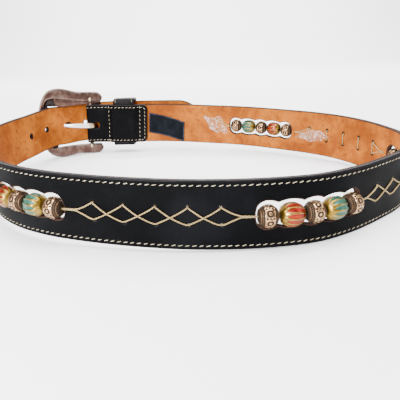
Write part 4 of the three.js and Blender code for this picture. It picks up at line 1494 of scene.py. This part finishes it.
def label_hem(tree):
    where = tree.where()
    rows_up = tree.node("ShaderNodeSeparateXYZ", None, (where,), out=2)
    weave = (rows_up * 9000.0).sine()
    cloud = tree.noise(where, 200.0, 3.0)
    return {"Base Color": tree.blend(cloud.step(0.4, 0.7), (0.013, 0.016, 0.022),
                                     (0.030, 0.035, 0.047)),
            "Roughness": 0.72 + 0.1 * cloud, "Normal": tree.bump(weave, 0.00010, 0.7),
            "Specular IOR Level": 0.05}


label_start = LENGTH - LABEL_FROM - LABEL_LONG
label_low = [LABEL_FAR - MID, LABEL_NEAR - MID]
label_side = np.linspace(0, 1, 14)
label_lower = np.stack([label_start + label_side * LABEL_LONG,
                        label_low[0] + label_side * (label_low[1] - label_low[0])], -1)
label_lower[:, 1] += LABEL_BOW * np.sin(math.pi * label_side)
label_rise = np.linspace(0, 1, 8)[1:-1, None]
label_outline = np.vstack([
    label_lower, label_lower[-1] + label_rise * [0, LABEL_TALL],
    (label_lower + [0, LABEL_TALL])[::-1],
    label_lower[0] + [0, LABEL_TALL] - label_rise * [0, LABEL_TALL]])
label_depth = STRAP + BOND + LABEL_T
label_profile = [(0.5, STRAP + 0.04), (0.1, STRAP + 0.04), (0, STRAP + 0.14),
                 (0.05, label_depth - 0.12), (0.25, label_depth - 0.02), (1.5, label_depth),
                 (1.75, label_depth - 0.16)]
label_inner = np.array([(s, h) for s in spaced(label_start, LENGTH - LABEL_FROM, LABEL_STEP)
                        for h in np.linspace(-MID, MID, 16)])
label = sheet("bare_woven_label", [label_outline], label_profile, label_inner)
for material in (finish("woven_label", woven_label, (0.02, 0.03, 0.05)), None,
                 finish("label_hem", label_hem, (0.07, 0.08, 0.11))):
    label.data.materials.append(material or label.data.materials[0])
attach(label, "root")
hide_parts("blank_label")

# %% [markdown]
# ## The buckle
# The frame is one casting: two rails that end in rounded heads behind the heel bar, a flared
# toe, and the bar between them. It is plated in antique copper, paler on its high edges: rubbed
# wear and painted highlight. It is swept between an inner and an outer rail, with a soft oval
# section, because a cast and polished ring has no flat faces. The prong is a plain bright bar
# with a loop for the bar.

# %% Axes of the frame
FRAME_TURN = math.radians(25)
FRAME_LEAN = math.radians(5)
FRAME_T = 4.2
along_frame = np.array([-math.cos(FRAME_TURN), -math.sin(FRAME_TURN), 0])
frame_out = np.array([-math.sin(FRAME_TURN), math.cos(FRAME_TURN), 0])
upright = np.array([0, 0, 1.0])
frame_x = along_frame * math.cos(FRAME_LEAN) + upright * math.sin(FRAME_LEAN)
frame_up = upright * math.cos(FRAME_LEAN) - along_frame * math.sin(FRAME_LEAN)
frame_origin = np.array([bar_x, bar_y, LOOP_LIFT + MID + FRAME_UP])


def in_frame(x, y, z):
    """Point of the buckle from its own axes: along, up and outward."""
    x, y, z = np.broadcast_arrays(np.asarray(x, float), np.asarray(y, float),
                                  np.asarray(z, float))
    return (frame_origin + x[..., None] * frame_x + y[..., None] * frame_up
            + z[..., None] * frame_out)


# %% Rails of the frame
RAILS = [
    # outer and inner edge, shares of FRAME_LONG and WIDTH, and how thick
    ((-0.234, 0.640), (-0.216, 0.590), 0.35),
    ((-0.238, 0.700), (-0.200, 0.565), 0.72),
    ((-0.185, 0.790), (-0.150, 0.5610), 0.95),
    ((-0.099, 0.822), (-0.085, 0.5605), 1.0),
    ((0.079, 0.821), (0.055, 0.5605), 1.0),
    ((0.257, 0.821), (0.235, 0.5720), 0.98),
    ((0.415, 0.863), (0.395, 0.5840), 0.96),
    ((0.553, 0.893), (0.540, 0.6060), 0.95),
    ((0.672, 0.887), (0.665, 0.6230), 0.97),
    ((0.781, 0.838), (0.750, 0.6230), 1.0),
    ((0.870, 0.724), (0.822, 0.5930), 1.0),
    ((0.939, 0.551), (0.874, 0.5000), 1.0),
    ((0.980, 0.340), (0.898, 0.3300), 1.0),
    ((0.998, 0.130), (0.903, 0.1300), 1.0),
]
FRAME_FINE = 15
FRAME_AROUND = 28
rail_points = np.array([(*o, *i, t) for o, i, t in RAILS])
mirrored = rail_points[::-1] * [1, -1, 1, -1, 1]
rail_points = np.vstack([rail_points, mirrored])
rail_steps = FRAME_FINE * (len(rail_points) - 1)


def smooth_rows(values, steps):
    """Smooth rows through rows of numbers, three at a time."""
    values = np.column_stack([values, np.zeros((len(values), -values.shape[1] % 3))])
    return np.column_stack([catmull(values[:, k], steps) for k in range(values.shape[1])])


def catmull(column, steps):
    column = np.asarray(column, float)
    rows = np.concatenate([[2 * column[0] - column[1]], column, [2 * column[-1] - column[-2]]])
    spans = len(column) - 1
    t = np.linspace(0, spans, steps + 1)
    first = np.minimum(t.astype(int), spans - 1)
    t = t - first
    p0, p1, p2, p3 = (rows[first + k] for k in range(4))
    return 0.5 * (2 * p1 + (p2 - p0) * t + (2 * p0 - 5 * p1 + 4 * p2 - p3) * t ** 2
                  + (3 * p1 - p0 - 3 * p2 + p3) * t ** 3)


# %% Sweep the casting and its bar
rails = smooth_rows(rail_points, rail_steps)[:, :5]
outer_rail = rails[:, 0:2] * [FRAME_LONG, WIDTH]
inner_rail = rails[:, 2:4] * [FRAME_LONG, WIDTH]
thick = np.clip(rails[:, 4], 0, 1) * FRAME_T
OVAL = 0.62
angles = np.arange(FRAME_AROUND) * 2 * math.pi / FRAME_AROUND
oval_across = np.sign(np.cos(angles)) * np.abs(np.cos(angles)) ** OVAL
oval_out = np.sign(np.sin(angles)) * np.abs(np.sin(angles)) ** OVAL
middle_rail = (outer_rail + inner_rail) / 2
half_rail = (outer_rail - inner_rail) / 2
flat = middle_rail[:, None] + half_rail[:, None] * oval_across[None, :, None]
crown = thick[:, None] / 2 * oval_out[None]
frame_spots = in_frame(flat[..., 0], flat[..., 1], crown).reshape(-1, 3)
rows_along = len(rails)
frame_faces = ring_faces(rows_along, FRAME_AROUND, open_rows=True)
frame_faces.append(tuple(range(FRAME_AROUND)))
frame_faces.append(tuple((rows_along - 1) * FRAME_AROUND + k for k in range(FRAME_AROUND)))
BAR_AROUND = 24
RAIL_ROOM = 2.3        # the rails stand this clear of the strap
BAR_BITE = 1.5         # the bar goes this far into them
bar_reach = MID + RAIL_ROOM + BAR_BITE
bar_start = len(frame_spots)
bar_angles = np.arange(BAR_AROUND) * 2 * math.pi / BAR_AROUND
bar_rows = []
for z in (-bar_reach, bar_reach):
    bar_rows.append(np.stack([bar_x + BAR_LEAN * z + BAR_R * np.cos(bar_angles),
                              bar_y + BAR_R * np.sin(bar_angles),
                              np.full(BAR_AROUND, frame_origin[2] + z)], -1))
frame_faces += [tuple(bar_start + v for v in face)
                for face in ring_faces(2, BAR_AROUND, open_rows=True)]
frame_faces.append(tuple(bar_start + k for k in range(BAR_AROUND)))
frame_faces.append(tuple(bar_start + BAR_AROUND + k for k in range(BAR_AROUND)))
frame_parts = [frame_spots, *bar_rows]
frame_kinds = [0] * len(frame_faces)


def add_shell(spots, faces, kind=0):
    """One more closed shell of the casting, in the axes of the frame."""
    start = sum(len(part) for part in frame_parts)
    spots = np.asarray(spots, float)
    frame_parts.append(in_frame(spots[:, 0], spots[:, 1], spots[:, 2]))
    frame_faces.extend(tuple(start + v for v in face) for face in faces)
    frame_kinds.extend([kind] * len(faces))


# %% [markdown]
# Under the upper rail the casting has a lip that goes down to the strap, and the corners of its
# toe are closed by thin webs painted near black: painted shade in the hollow of the toe. The
# ends of the bar show as small rubbed domes. Each is one more closed shell of the same piece.

# %% Lip under the upper rail
LIP_FROM = -9.5
LIP_TO = 35.5
LIP_HIGH = 1.6         # the lip starts this far up in the rail
LIP_BACK = 1.15        # behind the middle of the casting
LIP_HALF = 0.85        # half its thickness
LIP_DROPS = [
    # along the frame, down from the rail's inner edge
    (-9.5, 2.3), (5, 2.3), (9, 3.0), (14, 3.8), (20, 5.1), (27, 6.6), (33, 7.0),
]
upper_inner = inner_rail[:len(inner_rail) // 2]
lip_part = upper_inner[(upper_inner[:, 0] > LIP_FROM) & (upper_inner[:, 0] < LIP_TO)][::3]
lip_share = np.linspace(0, 1, len(lip_part))
lip_taper = np.sin(math.pi * np.clip(np.minimum(lip_share, 1 - lip_share) * 6, 0, 0.5))
LIP_AROUND = 12
lip_turn = np.arange(LIP_AROUND) * 2 * math.pi / LIP_AROUND
lip_spots = []
lip_drops = np.interp(lip_part[:, 0], *np.array(LIP_DROPS).T)
for (x, y), taper, drop in zip(lip_part, lip_taper, lip_drops):
    low_edge = y - drop * (0.5 + 0.5 * taper)
    top_edge = y + LIP_HIGH
    for turn in lip_turn:
        lip_spots.append((x, (low_edge + top_edge) / 2 + (top_edge - low_edge) / 2 * math.cos(turn),
                          -LIP_BACK + LIP_HALF * math.sin(turn)))
lip_faces = ring_faces(len(lip_part), LIP_AROUND, open_rows=True)
lip_faces.append(tuple(range(LIP_AROUND)))
lip_faces.append(tuple((len(lip_part) - 1) * LIP_AROUND + k for k in range(LIP_AROUND)))
add_shell(lip_spots, lip_faces)
print("lip rows:", len(lip_part))

# %% Webs in the corners of the toe, domes on the ends of the bar
WEB_FROM = 33.0
WEB_LOW = 9.5
WEB_REACH = {1: 16.7, -1: 21.6}    # clear of the strap in the buckle
WEB_DEPTHS = (0.5, 1.7)
DOME_R = 2.0
DOME_OUT = 23.4
for way in (1, -1):
    arc = upper_inner[(upper_inner[:, 0] > WEB_FROM) & (upper_inner[:, 1] > WEB_LOW)][::2]
    arc = arc * [1, way]
    reach = WEB_REACH[way]
    rises = arc[:, 1] * way
    inner_arc = np.stack([np.interp(rises, [WEB_LOW, reach, 30], [41.5, 41.0, 30]),
                          np.minimum(rises, reach)], -1)
    inner_arc[:, 0] = np.minimum(inner_arc[:, 0], arc[:, 0] - 0.3)
    inner_arc[:, 1] *= way
    outer_arc = arc + [0.6, 0.6 * way]
    web = []
    for depth in WEB_DEPTHS:
        web += [(*spot, depth) for spot in outer_arc] + [(*spot, depth) for spot in inner_arc]
    count = len(arc)
    web_faces = []
    for k in range(count - 1):
        web_faces.append((k, k + 1, count + k + 1, count + k))
        web_faces.append((2 * count + k + 1, 2 * count + k, 3 * count + k, 3 * count + k + 1))
        web_faces.append((k + 1, k, 2 * count + k, 2 * count + k + 1))
        web_faces.append((count + k, count + k + 1, 3 * count + k + 1, 3 * count + k))
    web_faces.append((0, count, 3 * count, 2 * count))
    web_faces.append((count - 1, 3 * count - 1, 4 * count - 1, 2 * count - 1))
    # The webs take the near-black finish: painted shade.
    add_shell(web, web_faces, 1)
    dome_rows, dome_around = 9, 16
    dome = [(0.6 + DOME_R * math.sin(a) * math.cos(b),
             way * DOME_OUT + DOME_R * math.sin(a) * math.sin(b) * 1.2,
             -1.5 - DOME_R * math.cos(a))
            for a in np.linspace(0.02, math.pi - 0.02, dome_rows)
            for b in np.arange(dome_around) * 2 * math.pi / dome_around]
    dome_faces = ring_faces(dome_rows, dome_around, open_rows=True)
    dome_faces.append(tuple(range(dome_around)))
    dome_faces.append(tuple((dome_rows - 1) * dome_around + k for k in range(dome_around)))
    add_shell(dome, dome_faces, 2)
print("shells of the casting:", len(frame_parts))

# %% [markdown]
# The plating is brown copper, cloudy where hands have rubbed it, and paler on the soft corners of
# the section, partly as rubbed wear and partly as painted highlight. Each point of the frame
# carries how near to such a corner it lies.

# %% Metal finishes

def antique_copper(tree):
    where = tree.where()
    rub = tree.noise(where, 130.0, 4.0, 0.6)
    fine = tree.noise(where, 1500.0, 2.0)
    ridge = tree.carried("ridge")
    # Paler where rubbed and on the section's corners: rubbed wear and painted highlight.
    worn = (rub * 0.8 + ridge * 0.22).step(0.45, 0.95)
    colour = tree.blend(rub.step(0.3, 0.7), (0.050, 0.027, 0.021), (0.125, 0.072, 0.057))
    colour = tree.blend(worn, colour, (0.250, 0.185, 0.165))
    return {"Base Color": colour, "Metallic": 0.85 + 0.1 * rub,
            "Roughness": 0.34 + 0.16 * rub, "Normal": tree.bump(fine + rub, 0.00008, 0.5)}


copper = finish("antique_copper", antique_copper, (0.4, 0.28, 0.24))


def web_painted_shade(tree):
    cloud = tree.noise(tree.where(), 300.0, 3.0)
    # Near-black webs: painted shade in the hollow corners of the toe, not a patina.
    return {"Base Color": tree.blend(cloud, (0.006, 0.004, 0.004), (0.022, 0.013, 0.010)),
            "Metallic": 0.3 + 0.2 * cloud, "Roughness": 0.7 + 0.1 * cloud}


def rubbed_brass(tree):
    cloud = tree.noise(tree.where(), 500.0, 3.0)
    return {"Base Color": tree.blend(cloud, (0.300, 0.210, 0.120), (0.620, 0.500, 0.330)),
            "Metallic": 0.9 + 0.1 * cloud, "Roughness": 0.26 + 0.1 * cloud}


# %% The cast frame
OVAL_CORNER = 0.65     # how far a soft oval reaches into its corner
buckle = solid("cast_buckle_frame", np.vstack(frame_parts), frame_faces, frame_kinds)
for material in (copper, finish("web_painted_shade", web_painted_shade, (0.02, 0.015, 0.012)),
                 finish("rubbed_brass", rubbed_brass, (0.6, 0.5, 0.3))):
    buckle.data.materials.append(material)
# Nearness to a corner of the section, painted paler there as wear and highlight.
ridge = np.zeros(len(buckle.data.vertices))
ridge[:len(frame_spots)] = np.tile(np.abs(oval_across * oval_out) / OVAL_CORNER, rows_along)
carry(buckle, "ridge", ridge)
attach(buckle, "root")
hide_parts("buckle_frame")

# %% [markdown]
# The prong is a bright bar that starts at the heel bar, comes up through the hole of the tip and
# rests on the toe. Its course is a smooth curve in the axes of the frame, with a soft section
# swept along it, and a ring of its own holds it on the bar.

# %% Course of the prong
PRONG_HALF = 1.5
PRONG_T = 2.0
PRONG_LOOP = 1.7
PRONG = [
    # shares: of FRAME_LONG, out of FRAME_T, of PRONG_HALF, of PRONG_T
    (0.045, -0.786, 1.53, 1.0), (0.178, -0.738, 1.47, 1.0), (0.356, -0.381, 1.27, 1.0),
    (0.474, 0.190, 1.07, 1.0), (0.573, 0.857, 1.00, 1.0), (0.711, 1.190, 1.00, 1.0),
    (0.850, 1.000, 1.00, 1.0), (0.985, 0.857, 0.87, 0.9),
]
PRONG_FINE = 12
PRONG_AROUND = 16
prong_rows = smooth_rows(np.array(PRONG), PRONG_FINE * (len(PRONG) - 1))[:, :4]
end = prong_rows[-1]
for share in (0.5, 0.8, 0.95, 1.0):
    shrink = math.sqrt(max(0.02, 1 - share * share))
    prong_rows = np.vstack([prong_rows, [end[0] + 0.022 * share, end[1], end[2] * shrink,
                                         end[3] * shrink]])
prong_turn = np.arange(PRONG_AROUND) * 2 * math.pi / PRONG_AROUND
prong_across = np.sign(np.cos(prong_turn)) * np.abs(np.cos(prong_turn)) ** 0.75
prong_out = np.sign(np.sin(prong_turn)) * np.abs(np.sin(prong_turn)) ** 0.75
prong_spots = in_frame(
    (prong_rows[:, :1] * FRAME_LONG) + 0 * prong_across,
    -PRONG_LOW + prong_rows[:, 2:3] * PRONG_HALF * prong_across,
    prong_rows[:, 1:2] * FRAME_T + prong_rows[:, 3:4] * PRONG_T / 2 * prong_out).reshape(-1, 3)
prong_faces = ring_faces(len(prong_rows), PRONG_AROUND, open_rows=True)
prong_faces.append(tuple(range(PRONG_AROUND)))
prong_faces.append(tuple((len(prong_rows) - 1) * PRONG_AROUND + k for k in range(PRONG_AROUND)))

# %% Loop of the prong
LOOP_AROUND = 32
loop_outer = BAR_R + BOND + PRONG_LOOP
loop_inner = BAR_R + 1.5 * BOND
loop_half = PRONG[0][2] * PRONG_HALF
loop_soft = 0.5
loop_section = [(loop_outer, -loop_half + loop_soft), (loop_outer, loop_half - loop_soft),
                (loop_outer - 0.15, loop_half - 0.15), (loop_outer - loop_soft, loop_half),
                (loop_inner + 0.2, loop_half), (loop_inner, loop_half - 0.2),
                (loop_inner, -loop_half + 0.2), (loop_inner + 0.2, -loop_half),
                (loop_outer - loop_soft, -loop_half), (loop_outer - 0.15, -loop_half + 0.15)]
loop_start = len(prong_spots)
loop_spots = []
for k in range(LOOP_AROUND):
    turn_angle = k * 2 * math.pi / LOOP_AROUND
    loop_spots += [(bar_x + r * math.cos(turn_angle), bar_y + r * math.sin(turn_angle),
                    frame_origin[2] - PRONG_LOW + z) for r, z in loop_section]
prong_faces += [tuple(loop_start + v for v in face)
                for face in ring_faces(LOOP_AROUND, len(loop_section))]


# %% The bright prong
def bright_plate(tree):
    where = tree.where()
    rub = tree.noise(where, 260.0, 3.0)
    fine = tree.noise(where, 1900.0, 2.0)
    colour = tree.blend(rub.step(0.3, 0.7), (0.720, 0.715, 0.710), (0.900, 0.895, 0.890))
    return {"Base Color": colour, "Metallic": 0.75 + 0.1 * rub, "Roughness": 0.34 + 0.1 * rub,
            "Normal": tree.bump(fine, 0.00004, 0.4)}


prong_kinds = [0] * (len(prong_faces) - LOOP_AROUND * len(loop_section))
prong_kinds += [1] * (LOOP_AROUND * len(loop_section))
prong = solid("bright_prong", np.vstack([prong_spots, loop_spots]), prong_faces, prong_kinds)
prong.data.materials.append(finish("bright_plate", bright_plate, (0.85, 0.85, 0.85)))
prong.data.materials.append(buckle.data.materials[2])
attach(prong, "root")
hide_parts("buckle_prong")
print("buckle faces:", len(buckle.data.polygons), "prong faces:", len(prong.data.polygons))

# %% [markdown]
# ## The studio
# The camera stands where the photographer stood, a little above the belt and close to it. The
# floor runs up into a pale backdrop, and large soft lamps give long, quiet highlights.

# %% Camera
CAMERA_AT = (6.3, -303.95, 100.31)
CAMERA_DOWN = 0.3641
CAMERA_ROLL = -0.0401
right = Vector((1, 0, 0))
up = Vector((0, math.sin(CAMERA_DOWN), math.cos(CAMERA_DOWN)))
forward = Vector((0, math.cos(CAMERA_DOWN), -math.sin(CAMERA_DOWN)))
side = right * math.cos(CAMERA_ROLL) + up * math.sin(CAMERA_ROLL)
head = up * math.cos(CAMERA_ROLL) - right * math.sin(CAMERA_ROLL)
camera_data = bpy.data.cameras.new("photo_camera")
camera_data.lens = 36
camera_data.sensor_width = 36
camera_data.sensor_height = 36
camera_data.sensor_fit = "AUTO"
camera_data.clip_start = 0.01
camera = bpy.data.objects.new("photo_camera", camera_data)
turn = Matrix((side, head, -forward)).transposed().to_4x4()
camera.matrix_world = Matrix.Translation(Vector(CAMERA_AT) * MM) @ turn
bpy.context.scene.collection.objects.link(camera)
bpy.context.scene.camera = camera
print("camera at", CAMERA_AT, "mm")

# %% Floor and backdrop
FLOOR_REACH = 2600.0
COVE = 900.0
COVE_STEPS = 12
FLOOR_WIDE = 1.6
FLOOR_DROP = 0.03      # the floor lies this far under the lowest leather
cove_rows = [(-FLOOR_REACH, 0.0), (FLOOR_REACH - COVE, 0.0)]
for k in range(1, COVE_STEPS + 1):
    angle = math.radians(90 * k / COVE_STEPS)
    cove_rows.append((FLOOR_REACH - COVE + COVE * math.sin(angle), COVE - COVE * math.cos(angle)))
cove_rows.append((FLOOR_REACH, FLOOR_REACH))
floor_mesh = bpy.data.meshes.new("studio_floor")
floor_points = [(x * FLOOR_REACH * FLOOR_WIDE * MM, y * MM, (z - FLOOR_DROP) * MM)
                for y, z in cove_rows for x in (-1, 1)]
floor_faces = [(2 * k, 2 * k + 1, 2 * k + 3, 2 * k + 2) for k in range(len(cove_rows) - 1)]
floor_mesh.from_pydata(floor_points, [], floor_faces)
floor_mesh.polygons.foreach_set("use_smooth", np.ones(len(floor_mesh.polygons), bool))
studio_floor = bpy.data.objects.new("studio_floor", floor_mesh)
bpy.context.scene.collection.objects.link(studio_floor)


def pale_paper(tree):
    where = tree.where()
    cloud = tree.noise(where, 3.0, 2.0)
    return {"Base Color": tree.blend(cloud, (0.90, 0.90, 0.90), (0.93, 0.93, 0.93)),
            "Roughness": 0.85 + 0.1 * cloud, "Specular IOR Level": 0.08}


floor_mesh.materials.append(finish("pale_paper", pale_paper, (0.9, 0.9, 0.9)))

# %% [markdown]
# Black leather shows its form only by what it mirrors. A very wide lamp above gives the soft
# sheen on the upper edge, a small one beside the camera picks out metal and enamel, and one
# lamp lights the backdrop alone.

# %% Lamps
AIR_LIGHT = 0.30
world = bpy.data.worlds.new("studio_air")
bpy.context.scene.world = world
world.use_nodes = True
world.node_tree.nodes["Background"].inputs["Color"].default_value = (1.0, 1.0, 1.0, 1)
world.node_tree.nodes["Background"].inputs["Strength"].default_value = AIR_LIGHT
LAMPS = [
    # name, place, aimed at, width, height, watts
    ("window_lamp", (-420, -520, 640), (0, 0, 30), 360, 300, 5.0),
    ("top_lamp", (60, -40, 1000), (0, 0, 0), 900, 900, 36.0),
    ("front_lamp", (-330, -560, 230), (0, -60, 30), 130, 130, 11.0),
    ("fill_lamp", (700, -300, 380), (0, 20, 30), 500, 400, 2.5),
    ("backdrop_lamp", (0, 900, 1500), (0, 2300, 200), 2400, 500, 190.0),
]
for name, spot, target, wide, tall, watts in LAMPS:
    lamp_data = bpy.data.lights.new(name, "AREA")
    lamp_data.shape = "RECTANGLE"
    lamp_data.size = wide * MM
    lamp_data.size_y = tall * MM
    lamp_data.energy = watts
    lamp = bpy.data.objects.new(name, lamp_data)
    aim = (Vector(target) - Vector(spot)).to_track_quat("-Z", "Y").to_matrix().to_4x4()
    lamp.matrix_world = Matrix.Translation(Vector(spot) * MM) @ aim
    bpy.context.scene.collection.objects.link(lamp)
print("lamps:", len(LAMPS))
